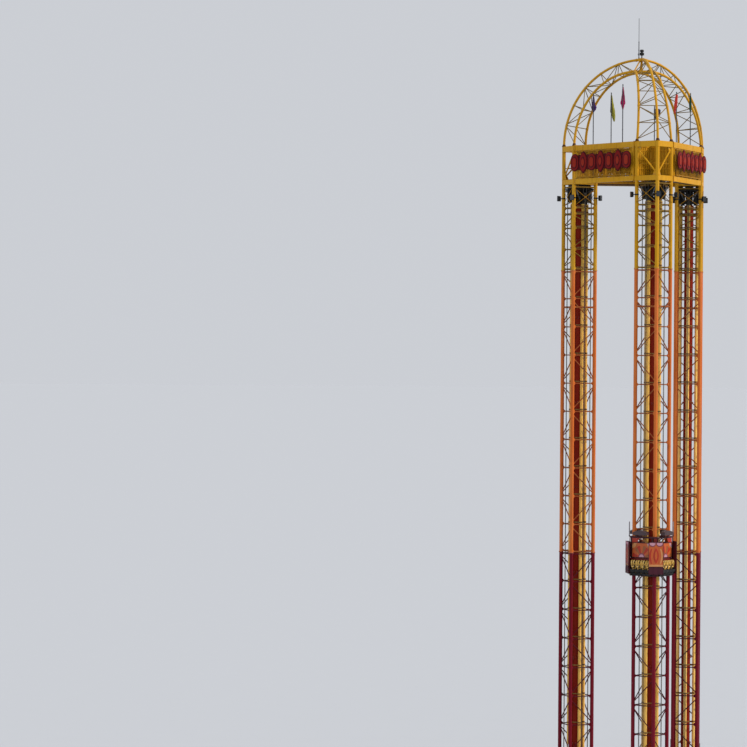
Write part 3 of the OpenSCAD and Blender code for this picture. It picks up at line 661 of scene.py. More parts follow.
for mast, angle in ANG.items():
    b = Build()
    for zone, levels in ZONES.items():
        for z in levels:
            end = z in (Z_LOW - 0.060, Z_LOW + 0.060, Z_MID - 0.060, Z_LEV[0])
            for F in faces_of(angle):
                b.at = F
                for s in (-1, 1):
                    poly = [(s * (FACE - u), z + v * (0.55 if end and (v > 0) == (z in (Z_LOW - 0.060, Z_MID - 0.060)) else 1.0)) for u, v in GUSSET]
                    if end:
                        lim = {Z_LOW - 0.060: (-9, 0.034), Z_LOW + 0.060: (-0.034, 9), Z_MID - 0.060: (-9, 0.034), Z_LEV[0]: (-0.038, 9)}[z]
                        poly = [(y, min(max(v, z + lim[0]), z + lim[1])) for y, v in poly]
                        poly = [p for i, p in enumerate(poly) if p != poly[i - 1]]
                    b.prism(poly, FACE - 0.006, FACE + 0.006, zone, PX)
                    for dy, dz in ((0.100, 0.012), (0.130, -0.012)):
                        b.bolt((FACE + 0.006, s * (FACE - dy), z + dz), (1, 0, 0), r=0.008, h=0.006)
    # Bolts round the splice collars, top and bottom
    b.at = mast_matrix(angle)
    for z0 in (Z_LOW, Z_MID):
        zone = ("crimson", "orange") if z0 == Z_LOW else ("orange", "yellow")
        for k in range(4):
            c = Vector((RHO * cos(radians(90 * k)), RHO * sin(radians(90 * k)), z0))
            for i in range(8):
                w = radians(22.5 + 45 * i)
                o = Vector((0.0965 * cos(w), 0.0965 * sin(w), 0))
                b.bolt(c + o + Vector((0, 0, 0.022)), (0, 0, 1), r=0.009, h=0.012)
                b.bolt(c + o - Vector((0, 0, 0.022)), (0, 0, -1), r=0.009, h=0.012)
    piece(mast + "_mast_gussets", b, "tower")

    # Clamps that hold the air tubes to the central pipe, and the pipe's own flanges
    b = Build()
    levels = [z for zone in ZONES.values() for z in zone if z not in (Z_LOW + 0.060, Z_MID - 0.060)]
    for i, z in enumerate(levels):
        z = z + 0.09
        b.at = mast_matrix(angle)
        b.hoop((0, 0, z), (0, 0, 1), [(0.209, -0.030), (0.222, -0.026), (0.222, 0.026), (0.209, 0.030)], "clamp", 32)
        for F in faces_of(angle):
            b.at = F
            b.hoop((0.380, 0, z), (0, 0, 1), [(0.074, -0.034), (0.085, -0.030), (0.085, 0.030), (0.074, 0.034)], "clamp", 24)
            b.box((0.216, -0.013, z - 0.026), (0.302, 0.013, z + 0.026), "clamp")
            for s in (-1, 1):
                b.box((0.360, s * 0.100 - 0.020, z - 0.028), (0.400, s * 0.100 + 0.020, z + 0.028), "clamp", 0.003)
                b.bolt((0.400, s * 0.102, z), (1, 0, 0), r=0.010)
        if i % 3 == 1 and z < Z_LEV[3]:
            b.at = mast_matrix(angle)
            zf = z + 0.35
            for s in (-1, 1):
                b.hoop((0, 0, zf + s * 0.015), (0, 0, 1), [(0.208, -0.013), (0.262, -0.013), (0.262, 0.013), (0.208, 0.013)], "dark_red", 32)
            for j in range(12):
                w = 2 * pi * (j + 0.5) / 12
                b.bolt((0.238 * cos(w), 0.238 * sin(w), zf + 0.028), (0, 0, 1), r=0.011)
                b.bolt((0.238 * cos(w), 0.238 * sin(w), zf - 0.028), (0, 0, -1), r=0.011)
    # Domed end cap on the pipe
    b.at = mast_matrix(angle)
    top = Z_LEV[4] + 0.160
    b.lathe((0, 0, top - 0.002), (0, 0, 1), [(0, 0), (0.225, 0), (0.225, 0.022), (0.200, 0.030), (0.150, 0.052), (0.080, 0.066), (0, 0.070)], "dark_red", 32)
    piece(mast + "_pipe_clamps", b, "tower")

    # Fittings of the head machinery: sheave guards, axle bearings, brakes, cylinders, hoses
    b = Build()
    for F in faces_of(angle):
        b.at = F
        b.loft([[(SHEAVE_X + r * cos(w), y, SHEAVE_TOP + r * sin(w)) for r, y in ((0.147, -0.057), (0.154, -0.057), (0.154, 0.057), (0.147, 0.057))]
                for w in [radians(18 + 144 * i / 14) for i in range(15)]], "black")
        for s in (-1, 1):
            b.lathe((SHEAVE_X, s * 0.071, SHEAVE_TOP), (0, s, 0), [(0, 0), (0.062, 0), (0.062, 0.010), (0.046, 0.018), (0.046, 0.036), (0.030, 0.042), (0, 0.042)], "black", 24)
            for j in range(6):
                w = 2 * pi * j / 6
                b.bolt((SHEAVE_X + 0.054 * cos(w), s * 0.081, SHEAVE_TOP + 0.054 * sin(w)), (0, s, 0), r=0.006, h=0.006)
            # Ribs along the cheek's edges
            for x in (0.3535, 0.5815):
                b.box((x - 0.006, s * 0.072 - (0.026 if s < 0 else 0), SHEAVE_TOP - 0.30), (x + 0.006, s * 0.072 + (0.026 if s > 0 else 0), Z_RING - 0.195), "black", 0.002)
            # Callipers on the brake drum, and its flanges
            b.box((0.255, s * 0.150 - 0.018, SHEAVE_TOP + 0.075), (0.345, s * 0.150 + 0.018, SHEAVE_TOP + 0.120), "black")
            b.lathe((0.300, s * 0.150, SHEAVE_TOP + 0.190), (0, s, 0), [(0, 0), (0.094, 0), (0.094, 0.012), (0.060, 0.020), (0.040, 0.020), (0, 0.020)], "black", 24)
            # Hydraulic cylinders that lean from the frame down to the cheeks
            p, q = Vector((0.450, s * 0.400, Z_RING - 0.262)), Vector((0.470, s * 0.200, Z_RING - 0.700))
            b.lathe(p, q - p, [(0, 0), (0.028, 0), (0.028, 0.240), (0.024, 0.250), (0.012, 0.254), (0.012, 0.440), (0.020, 0.446), (0.020, 0.480), (0, 0.480)], "grey", 16)
            # Hoses from the valve block
            b.tube([(0.345, s * 0.100, Z_RING - 0.460), (0.400, s * 0.150, Z_RING - 0.440), (0.450, s * 0.200, Z_RING - 0.400), (0.455, s * 0.235, Z_RING - 0.330), (0.450, s * 0.240, Z_RING - 0.262)], 0.012, "black", 10)
            b.tube([(0.345, s * 0.095, Z_RING - 0.800), (0.390, s * 0.140, Z_RING - 0.780), (0.410, s * 0.170, Z_RING - 0.700), (0.405, s * 0.180, Z_RING - 0.560), (0.400, s * 0.190, Z_RING - 0.420), (0.430, s * 0.200, Z_RING - 0.262)], 0.010, "black", 10)
            # Louvres of the winch box
            for j in range(5):
                b.box((0.508, s * 0.090 - 0.070, Z_RING - 0.165 + 0.028 * j), (0.516, s * 0.090 + 0.070, Z_RING - 0.150 + 0.028 * j), "black", 0.002)
        # Valves on the block
        for y in (-0.080, 0.0, 0.080):
            b.lathe((0.282, y, Z_RING - 0.914), (0, 0, -1), [(0, 0), (0.024, 0), (0.024, 0.004), (0.018, 0.005), (0, 0.005)], "grey", 12)
        b.box((0.348, -0.055, Z_RING - 0.905), (0.362, 0.055, Z_RING - 0.850), "black", 0.002)
    # Crossed light braces outside the ropes, with a plate where they meet
    for F in faces_of(angle):
        b.at = F
        for s in (-1, 1):
            b.rod((0.642, -s * 0.535, Z_LEV[4] + 0.110), (0.642, s * 0.535, Z_RING - 0.210), 0.012, "yellow_dark", 10)
        zc = (Z_LEV[4] + Z_RING - 0.100) / 2
        b.prism([(-0.050, zc), (0, zc + 0.040), (0.050, zc), (0, zc - 0.040)], 0.634, 0.650, "yellow_dark", PX, 0.002)
    # Outriggers from the frame's corners to the chords
    for k in range(4):
        b.at = mast_matrix(angle) @ rot_z(90 * k)
        b.box((0.655, -0.026, Z_RING - 0.255), (RHO - 0.080, 0.026, Z_RING - 0.196), "black")
        b.lathe((0.632, 0, Z_RING - 0.262), (0, 0, -1), [(0, 0), (0.050, 0), (0.050, 0.016), (0.038, 0.020), (0.038, 0.075), (0.026, 0.080), (0, 0.080)], "black", 20)
    piece(mast + "_head_fittings", b, "tower")

    # Base plates' stiffeners and anchor bolts
    b = Build()
    for k in range(4):
        b.at = mast_matrix(angle) @ Matrix.Translation((RHO * cos(radians(90 * k)), RHO * sin(radians(90 * k)), 0)) @ rot_z(45)
        for j in range(8):
            keep = b.at
            b.at = keep @ rot_z(45 * j)
            reach = 0.165 if j % 2 == 0 else 0.21
            b.prism([(0.084, 0.040), (reach, 0.040), (reach, 0.062), (0.100, 0.235), (0.084, 0.235)], -0.006, 0.006, "crimson", PY)
            b.at = keep
        for sx in (-1, 1):
            for sy in (-1, 1):
                b.lathe((sx * 0.150, sy * 0.150, 0.038), (0, 0, 1), [(0, 0), (0.026, 0), (0.026, 0.006), (0.010, 0.006), (0.010, 0.050), (0, 0.050)], "zinc", 12)
                b.bolt((sx * 0.150, sy * 0.150, 0.044), (0, 0, 1), r=0.021, h=0.020)
        b.hoop((0, 0, 0.255), (0, 0, 1), [(0.087, -0.012), (0.100, -0.008), (0.100, 0.008), (0.087, 0.012)], "crimson", 24)
    piece(mast + "_anchor_fittings", b, "tower")

# ------------------------------------------------------------------ floodlights
b = Build()
for mast, angle in ANG.items():
    for k in range(4):
        b.at = mast_matrix(angle) @ rot_z(90 * k) @ Matrix.Translation((RHO, 0, Z_RING - 0.640))
        x = CHORD / 2
        # Clamp on the chord, arm and yoke
        b.hoop((0, 0, 0), (0, 0, 1), [(x - 0.002, -0.030), (x + 0.014, -0.026), (x + 0.014, 0.026), (x - 0.002, 0.030)], "black", 24)
        b.box((x + 0.006, -0.020, -0.020), (x + 0.062, 0.020, 0.020), "black")
        yoke = [Vector((x + 0.150, -0.112, 0)), Vector((x + 0.074, -0.112, 0)), Vector((x + 0.060, -0.096, 0)), Vector((x + 0.060, 0.096, 0)),
                Vector((x + 0.074, 0.112, 0)), Vector((x + 0.150, 0.112, 0))]
        b.loft([[p + Vector((0, 0, h)) + (Vector((0, 0.004, 0)) if i in (0, 1) else Vector((0.0, -0.004, 0)) if i in (4, 5) else Vector((0.004, 0, 0))) * g
                 for h, g in ((-0.02, -1), (0.02, -1), (0.02, 1), (-0.02, 1))] for i, p in enumerate(yoke)], "black")
        # Body that widens to the glass, with fins behind
        eightway = ((-0.88, -1), (0.88, -1), (1, -0.88), (1, 0.88), (0.88, 1), (-0.88, 1), (-1, 0.88), (-1, -0.88))
        rows = []
        for xx, w, h in ((0.070, 0.070, 0.076), (0.080, 0.080, 0.088), (0.150, 0.100, 0.116), (0.188, 0.106, 0.126), (0.204, 0.106, 0.126), (0.204, 0.094, 0.114), (0.194, 0.092, 0.112)):
            rows.append([(x + xx, u * w, v * h) for u, v in eightway])
        b.loft(rows, "black")
        for j in range(-4, 5):
            for s in (-1, 1):
                b.prism([(x + 0.078, s * 0.084), (x + 0.084, s * 0.122), (x + 0.140, s * 0.128), (x + 0.165, s * 0.114)], j * 0.020 - 0.0025, j * 0.020 + 0.0025, "black", PY, 0.0008)
        b.loft([[(x + xx, u * 0.091, v * 0.111) for u, v in eightway] for xx in (0.190, 0.197)], "glass")
        # Visor
        b.prism([(x + 0.182, 0.124), (x + 0.205, 0.124), (x + 0.205, 0.130), (x + 0.182, 0.130)], -0.106, 0.106, "black", PY, 0.001)
piece("floodlight_lamps", b, "tower", ["floodlights"])

# ------------------------------------------------------------------ ring: guards, slats, rails, soffits, caps
for side, angle in TRUSS.items():
    b = Build()
    b.at = centre(angle)
    x0 = TRUSS_R
    half = TL / 2
    # Support frame behind the ornament: slender slats between two rails
    for z in (Z_RING + 0.300, Z_RING + 1.490):
        b.box((x0 + 0.085, -half + 0.26, z - 0.022), (x0 + 0.125, half - 0.26, z + 0.022), "yellow_dark")
    n = 42
    for i in range(n):
        y = -half + 0.30 + (2 * half - 0.60) * i / (n - 1)
        b.box((x0 + 0.100, y - 0.017, Z_RING + 0.262), (x0 + 0.122, y + 0.017, Z_RING + 1.530), "yellow_dark", 0.002)
    for i in range(-2, 3):
        y = i * (TRUSS_LEN - 0.300 - 0.460) / 6
        for z in (Z_RING + 0.300, Z_RING + 1.490):
            b.box((x0 + 0.030, y - 0.025, z - 0.030), (x0 + 0.090, y + 0.025, z + 0.030), "yellow")
    # Walkway: bearing bars, toe board, posts and three handrails on the inner edge
    yw = TRUSS_LEN / 2 - 0.480
    xi, xo = x0 - 0.490, x0 - 0.070
    nb = 60
    for i in range(nb):
        y = -yw + 0.03 + (2 * yw - 0.06) * i / (nb - 1)
        b.box((xi + 0.02, y - 0.004, Z_RING + 0.079), (xo - 0.01, y + 0.004, Z_RING + 0.096), "brown", 0.001)
    b.box((xi + 0.002, -yw, Z_RING + 0.070), (xi + 0.012, yw, Z_RING + 0.165), "yellow_dark", 0.001)
    posts = 9
    for i in range(posts):
        y = -yw + 0.02 + (2 * yw - 0.04) * i / (posts - 1)
        b.box((xi + 0.012, y - 0.014, Z_RING + 0.060), (xi + 0.040, y + 0.014, Z_RING + 0.670), "yellow")
    for z in (0.310, 0.490, 0.670):
        b.rod((xi + 0.026, -yw - 0.01, Z_RING + z), (xi + 0.026, yw + 0.01, Z_RING + z), 0.013, "yellow")
    # Infill bars of the guard rail
    m = 64
    for i in range(m):
        y = -yw + 0.05 + (2 * yw - 0.10) * i / (m - 1)
        b.rod((xi + 0.026, y, Z_RING + 0.160), (xi + 0.026, y, Z_RING + 0.670), 0.006, "yellow_dark", 6, 0.001)
    # Second lattice plane on the truss's inner side
    xb = x0 - 0.105
    for z in (Z_RING + 0.290, Z_RING + 1.480):
        b.box((xb - 0.020, -half + 0.05, z - 0.030), (xb + 0.020, half - 0.05, z + 0.030), "yellow_dark")
    for i in range(8):
        y1, y2 = -half + 0.1 + (2 * half - 0.2) * i / 8, -half + 0.1 + (2 * half - 0.2) * (i + 1) / 8
        za, zb = (Z_RING + 0.30, Z_RING + 1.47) if i % 2 else (Z_RING + 1.47, Z_RING + 0.30)
        b.rod((xb, y1, za), (xb, y2, zb), 0.024, "yellow_dark", 10)
    # Gussets at the truss's nodes and bolted end flanges
    y0 = TL / 2 - 0.230
    for i in range(7):
        y = -y0 + 2 * y0 * i / 6
        for z, s in ((Z_RING + 0.200, 1), (Z_TOP - 0.230, -1)):
            b.prism([(y - 0.15, z), (y + 0.15, z), (y + 0.15, z + s * 0.06), (y + 0.06, z + s * 0.16), (y - 0.06, z + s * 0.16), (y - 0.15, z + s * 0.06)], x0 + 0.040, x0 + 0.050, "yellow", PX, 0.002)
            for d in (-0.11, 0.11):
                b.bolt((x0 + 0.050, y + d, z + s * 0.045), (1, 0, 0))
    for s in (-1, 1):
        for z, h in ((ZT, 0.150), (ZB, 0.135)):
            b.box((x0 - 0.095, s * half - 0.012, z - h), (x0 + 0.095, s * half + 0.012, z + h), "yellow")
            for dx in (-0.082, 0.082):
                for dz in (-0.10, 0.0, 0.10):
                    b.bolt((x0 + dx, s * (half - 0.012), z + dz), (0, -s, 0))
        # Stiffening ribs on the broad end posts
        for dy in (-0.075, 0.075):
            b.box((x0 + 0.048, s * (half - 0.115) + dy - 0.006, Z_RING + 0.22), (x0 + 0.066, s * (half - 0.115) + dy + 0.006, Z_TOP - 0.25), "yellow", 0.002)
    piece("ring_" + side + "_fittings", b, "tower")

for mast, angle in ANG.items():
    b = Build()
    FF = faces_of(angle)
    for k in (1, 2):        # the two faces towards the inside of the ring
        b.at = FF[k]
        # Ribs and rails on both sides of the guard wall
        for x, d in ((FACE - 0.030, 0.016), (FACE - 0.042, -0.016)):
            for i in range(6):
                y = -0.40 + 0.16 * i
                b.box((min(x, x + d), y - 0.014, Z_RING + 0.235), (max(x, x + d), y + 0.014, Z_TOP - 0.265), "yellow_dark", 0.002)
            for z in (Z_RING + 0.560, Z_RING + 0.980, Z_RING + 1.400):
                b.box((min(x, x + d * 1.6), -0.475, z - 0.020), (max(x, x + d * 1.6), 0.475, z + 0.020), "yellow", 0.003)
    for k in (0, 3):        # outer faces: gussets where the V meets beam and chord
        b.at = FF[k]
        for s in (-1, 1):
            outer = (k == 0 and s < 0) or (k == 3 and s > 0)
            z = Z_RING + 0.230 if outer else Z_TOP - 0.260
            d = 1 if outer else -1
            b.prism([(s * 0.485, z), (s * 0.30, z), (s * 0.36, z + d * 0.16), (s * 0.485, z + d * 0.30)], FACE - 0.006, FACE + 0.006, "yellow", PX)
            for u, v in ((0.44, 0.05), (0.36, 0.05), (0.44, 0.16)):
                b.bolt((FACE + 0.006, s * u, z + d * v), (1, 0, 0))
        # Rail that runs behind the V
        b.rod((FACE - 0.06, -0.48, Z_RING + 0.780), (FACE - 0.06, 0.48, Z_RING + 0.780), 0.016, "yellow_dark")
    # Grating floor in the head, on bearers
    b.at = mast_matrix(angle) @ rot_z(45)
    for i in range(14):
        y = -0.47 + 0.0723 * i
        b.box((-0.50, y - 0.005, Z_RING + 0.232), (0.50, y + 0.005, Z_RING + 0.256), "brown", 0.001)
    for x in (-0.34, 0.0, 0.34):
        b.box((x - 0.02, -0.50, Z_RING + 0.200), (x + 0.02, 0.50, Z_RING + 0.234), "brown")
    # Welded bands and bolts at the ends of the beams
    b.at = mast_matrix(angle)
    for k in range(4):
        c = Vector((RHO * cos(radians(90 * k)), RHO * sin(radians(90 * k)), 0))
        for z in (Z_RING + 0.002, Z_RING + 0.236, Z_TOP - 0.266):
            b.hoop(c + Vector((0, 0, z)), (0, 0, 1), [(0.087, -0.010), (0.098, -0.006), (0.098, 0.006), (0.087, 0.010)], "yellow", 24)
    # Cap on the inner corner, which carries no rib
    b.lathe((-RHO, 0, Z_TOP - 0.002), (0, 0, 1), [(0, 0), (0.098, 0), (0.098, 0.020), (0.080, 0.028), (0.080, 0.058), (0.050, 0.072), (0, 0.076)], "collar", 24)
    piece("head_" + mast + "_fittings", b, "tower")

# ------------------------------------------------------------------ ornament that stands in for the sign
b = Build()
for angle in TRUSS.values():
    b.at = centre(angle)
    span = TRUSS_LEN - 0.300 - 0.480
    for z in (-0.190, 0.150):
        b.box((TRUSS_R + 0.230, -span / 2, Z_RING + 0.975 + z), (TRUSS_R + 0.270, span / 2, Z_RING + 1.015 + z), "sign_back")
        for i in range(-2, 3):
            y = i * (TRUSS_LEN - 0.300 - 0.460) / 6
            b.box((TRUSS_R + 0.040, y - 0.020, Z_RING + 0.975 + z), (TRUSS_R + 0.235, y + 0.020, Z_RING + 1.015 + z), "yellow_dark")
    for i in range(-3, 4):
        b.at = centre(angle) @ Matrix.Translation((TRUSS_R + 0.270, i * 0.615, Z_RING + 0.975))
        if i % 2 == 0:
            def loz(k, w=0.300, h=0.520):
                return [(w * k * sin(2 * pi * j / 32) * abs(sin(2 * pi * j / 32)) ** 0.15, h * k * cos(2 * pi * j / 32) * abs(cos(2 * pi * j / 32)) ** 0.25) for j in range(32)]
            b.prism(loz(1.0), 0.0, 0.030, "sign_back", PX, 0.006)
            b.prism(loz(0.86), 0.024, 0.052, "sign_face", PX, 0.008)
            b.prism(loz(0.50), 0.046, 0.064, "sign_back", PX, 0.006)
            b.prism(loz(0.36), 0.058, 0.070, "sign_mid", PX, 0.003)
        else:
            def oval(r, h):
                return [(r * cos(2 * pi * (j + 0.5) / 40), r * sin(2 * pi * (j + 0.5) / 40) + (h if j < 20 else -h)) for j in range(40)]
            b.prism(oval(0.300, 0.110), 0.0, 0.030, "sign_back", PX, 0.005)
            b.prism(oval(0.256, 0.110), 0.024, 0.050, "sign_face", PX, 0.008)
            b.prism(oval(0.180, 0.100), 0.044, 0.060, "sign_back", PX, 0.005)
            b.prism(oval(0.130, 0.095), 0.054, 0.070, "sign_mid", PX, 0.004)
    b.at = centre(angle)
    x = TRUSS_R + 0.258
    b.box((x, -span / 2, Z_RING + 0.975 - 0.260), (x + 0.014, span / 2, Z_RING + 0.975 + 0.260), "sign_back")
    for i in range(-3, 3):
        for z in (-0.255, 0.255):
            c = Vector((x + 0.004, (i + 0.5) * 0.615, Z_RING + 0.975 + z))
            b.lathe(c, (1, 0, 0), [(0, 0), (0.112, 0), (0.112, 0.018), (0.096, 0.026), (0.070, 0.026), (0.062, 0.020), (0.034, 0.020), (0.026, 0.028), (0, 0.030)], "sign_back", 28)
    for z in (-0.250, 0.230):
        b.box((x - 0.010, -span / 2 + 0.01, Z_RING + 0.975 + z), (x + 0.024, span / 2 - 0.01, Z_RING + 0.995 + z), "sign_back", 0.003)
piece("ornament_relief", b, "tower", ["sign_ornaments"])

# ------------------------------------------------------------------ crown
HUB_R, HUB_W, HUB_IN, HUB_TOP = 0.202, 0.394, 0.300, 0.190
OUT_END = acos((HUB_TOP * cos(radians(30)) + 0.010) / (R_MAST + RHO))
SIDE_END = acos((HUB_IN + 0.010 - HUB_R) / (R_MAST - HUB_R))
RIB = 0.058
BAR = 0.019


def rib_out(u):
    t = u * OUT_END
    return Vector(((R_MAST + RHO) * cos(t), 0, Z_TOP + CROWN_H * sin(t)))


def rib_side(u, s):
    t = u * SIDE_END
    return Vector((HUB_R + (R_MAST - HUB_R) * cos(t), s * (RHO + (HUB_W - RHO) * u), Z_TOP + SIDE_H * sin(t)))


for mast, angle in ANG.items():
    b = Build()
    b.at = centre(angle)
    n = 6
    steps = 48
    chords = [rib_out, lambda u: rib_side(u, -1), lambda u: rib_side(u, 1)]
    for f in chords:
        b.tube([f(i / steps) for i in range(steps + 1)], RIB, "yellow", 16)
        for i in range(1, n):       # sleeves where the bars meet the chord
            t = (f(i / n + 0.01) - f(i / n - 0.01)).normalized()
            b.hoop(f(i / n), t, [(RIB - 0.001, -0.050), (RIB + 0.007, -0.044), (RIB + 0.007, 0.044), (RIB - 0.001, 0.050)], "yellow", 16)
        t = (f(1.0) - f(0.98)).normalized()
        b.hoop(f(0.985), t, [(RIB - 0.001, -0.040), (RIB + 0.016, -0.036), (RIB + 0.016, 0.036), (RIB - 0.001, 0.040)], "yellow", 16)
    for i in range(1, n):
        for p, q in ((rib_out(i / n), rib_side(i / n, -1)), (rib_out(i / n), rib_side(i / n, 1)), (rib_side(i / n, -1), rib_side(i / n, 1))):
            b.rod(p, q, BAR, "rib_bar_shade", 10)
    for i in range(n):
        u0, u1 = (i + (0.12 if i == 0 else 0.06)) / n, (i + 0.94) / n
        up = i % 2 == 0
        for s in (-1, 1):
            b.rod(rib_side(u0, s) if up else rib_out(u0), rib_out(u1) if up else rib_side(u1, s), BAR, "rib_bar_shade", 10)
        b.rod(rib_side(u0, -1 if up else 1), rib_side(u1, 1 if up else -1), BAR, "rib_bar_shade", 10)
    # Bolted collars at the feet
    for p in (Vector((R_MAST + RHO, 0, Z_TOP)), Vector((R_MAST, RHO, Z_TOP)), Vector((R_MAST, -RHO, Z_TOP))):
        b.lathe(p - Vector((0, 0, 0.001)), (0, 0, 1), [(0, 0), (0.098, 0), (0.098, 0.022), (0.076, 0.026), (0.070, 0.088), (0.062, 0.110), (0, 0.112)], "collar", 24)
        for j in range(8):
            w = 2 * pi * (j + 0.5) / 8
            b.bolt(p + Vector((0.086 * cos(w), 0.086 * sin(w), 0.021)), (0, 0, 1), "collar", r=0.009)
        for j in range(6):
            w = 2 * pi * j / 6
            keep = b.at
            b.at = keep @ Matrix.Translation(p) @ Matrix.Rotation(w, 4, "Z")
            b.prism([(0.050, 0.02), (0.096, 0.02), (0.064, 0.105), (0.050, 0.105)], -0.004, 0.004, "collar", PY, 0.001)
            b.at = keep
    piece("crown_" + mast + "_rib_tubes", b, "tower", ["crown_rib_" + mast])

b = Build()
z0, z1 = Z_TOP + SIDE_H - 0.065, Z_TOP + CROWN_H
for a in ANG.values():
    b.at = centre(a)
    # Bolted splice plates on the hub ring's sides, and saddle plates for the rib's three chords
    for s in (-1, 1):
        b.box((HUB_IN - 0.002, s * HUB_W - 0.085, z0 + 0.004), (HUB_IN + 0.008, s * HUB_W + 0.085, z0 + 0.126), "yellow")
        for dy in (-0.070, 0.070):
            for dz in (0.025, 0.105):
                b.bolt((HUB_IN + 0.008, s * HUB_W + dy, z0 + dz), (1, 0, 0), r=0.009)
    b.box((HUB_TOP * cos(radians(30)) - 0.002, -0.085, z1 - 0.060), (HUB_TOP * cos(radians(30)) + 0.007, 0.085, z1 + 0.055), "yellow")
    # Sleeves on the struts
    b.at = centre(a + 180)
    t = Vector((-0.390, 0, z1 - z0 - 0.090)).normalized()
    for w in (0.08, 0.90):
        p = Vector((0.480 - 0.390 * w, 0, z0 + 0.070 + (z1 - z0 - 0.090) * w))
        b.hoop(p, t, [(0.031, -0.030), (0.040, -0.026), (0.040, 0.026), (0.031, 0.030)], "yellow", 16)
b.at = centre()
b.lathe((0, 0, z1 + 0.058), (0, 0, 1), [(0, 0), (0.120, 0), (0.120, 0.012), (0.060, 0.016), (0, 0.016)], "collar", 24)
for j in range(8):
    w = 2 * pi * j / 8
    b.bolt((0.095 * cos(w), 0.095 * sin(w), z1 + 0.070), (0, 0, 1), r=0.010)
piece("crown_hub_fittings", b, "tower")

# ------------------------------------------------------------------ beacon and rod foot
b = Build()
b.at = centre() @ Matrix.Translation((0, 0, Z_TOP + CROWN_H + 0.060))
b.lathe((0, 0, 0), (0, 0, 1), [(0, 0), (0.055, 0), (0.055, 0.014), (0.028, 0.020), (0.026, 0.150), (0, 0.150)], "black", 20)
b.lathe((0, 0, 0.143), (0, 0, 1), [(0, 0), (0.066, 0), (0.106, 0.016), (0.110, 0.034), (0.104, 0.038), (0.104, 0.098), (0.110, 0.102), (0.106, 0.122), (0.060, 0.140), (0.045, 0.142), (0, 0.142)], "black", 28)
b.lathe((0, 0, 0.282), (0, 0, 1), [(0, 0), (0.050, 0), (0.044, 0.008), (0.044, 0.030), (0.050, 0.038), (0, 0.038)], "glass", 24)
b.lathe((0, 0, 0.315), (0, 0, 1), [(0, 0), (0.076, 0), (0.095, 0.016), (0.095, 0.060), (0.082, 0.090), (0.044, 0.107), (0, 0.110)], "black", 28)
for j in range(6):
    w = 2 * pi * j / 6
    b.rod((0.064 * cos(w), 0.064 * sin(w), 0.276), (0.064 * cos(w), 0.064 * sin(w), 0.324), 0.005, "black", 8, 0.001)
b.box((-0.165, -0.036, 0.165), (-0.018, -0.024, 0.179), "black", 0.002)
b.lathe((-0.165, -0.030, 0.150), (0, 0, 1), [(0, 0), (0.028, 0), (0.035, 0.008), (0.035, 0.040), (0.031, 0.046), (0.031, 0.076), (0.020, 0.088), (0, 0.090)], "grey", 20)
piece("beacon_lamp", b, "tower", ["beacon"])

b = Build()
b.at = centre() @ Matrix.Translation((-0.130, 0.060, Z_TOP + CROWN_H + 0.060))
b.lathe((0, 0, 0), (0, 0, 1), [(0, 0), (0.040, 0), (0.040, 0.010), (0.026, 0.014), (0.026, 0.060), (0.0, 0.060)], "grey", 20)
b.hoop((0, 0, 0.780), (0, 0, 1), [(0.012, -0.030), (0.026, -0.030), (0.026, 0.010), (0.018, 0.028), (0.012, 0.028)], "grey", 20)
b.hoop((0, 0, 0.400), (0, 0, 1), [(0.021, -0.016), (0.030, -0.012), (0.030, 0.012), (0.021, 0.016)], "grey", 20)
piece("rod_fittings", b, "tower")

# ------------------------------------------------------------------ flags
POLE_R, POLE_Y, POLE_D = 2.065, 1.045, 0.046
# truss direction, side, pole top above the ring, room's length and width, way that the flag hangs, colour, outline
POLES = [
    (210, -1, 2.330, 0.760, 0.270, -15, "purple"),
    (210, 1, 2.640, 1.060, 0.200, -60, "magenta"),
    (90, 1, 2.560, 1.260, 0.230, -10, "lime"),
    (90, -1, 1.960, 0.560, 0.290, -10, "navy"),
    (-30, -1, 2.320, 0.900, 0.150, 160, "red"),
    (-30, 1, 2.420, 0.760, 0.130, 170, "green"),
]
# For each flag: share of the hoist from the top, and how far the cloth reaches to the two sides of the pole there
SPREAD = {
    "purple": [(0.0, -0.032, 0.034), (0.30, -0.050, 0.060), (0.55, -0.078, 0.092), (0.68, -0.082, 0.150), (0.80, -0.066, 0.128), (1.0, -0.036, 0.040)],
    "magenta": [(0.0, -0.030, 0.032), (0.25, -0.044, 0.066), (0.50, -0.074, 0.096), (0.72, -0.116, 0.116), (0.84, -0.066, 0.066), (1.0, -0.030, 0.030)],
    "lime": [(0.0, -0.030, 0.044), (0.20, -0.036, 0.080), (0.40, -0.040, 0.128), (0.62, -0.052, 0.180), (0.80, 0.034, 0.196), (1.0, 0.120, 0.176)],
    "navy": [(0.0, -0.030, 0.220), (0.12, -0.032, 0.288), (0.55, -0.034, 0.280), (0.80, -0.032, 0.130), (1.0, -0.030, 0.060)],
    "red": [(0.0, -0.062, 0.044), (0.30, -0.050, 0.082), (0.60, -0.036, 0.118), (0.85, 0.026, 0.130), (1.0, 0.052, 0.104)],
    "green": [(0.0, -0.030, 0.036), (0.30, -0.044, 0.056), (0.60, -0.054, 0.066), (0.85, -0.040, 0.054), (1.0, -0.030, 0.034)],
}


def along(table, u):
    for p, q in zip(table, table[1:]):
        if u <= q[0] + 1e-9:
            w = (u - p[0]) / (q[0] - p[0])
            w = w * w * (3 - 2 * w)
            return p[1] + (q[1] - p[1]) * w, p[2] + (q[2] - p[2]) * w
    return table[-1][1:]


def ease(w):
    w = max(0.0, min(1.0, w))
    return 0.5 - 0.5 * cos(pi * w)


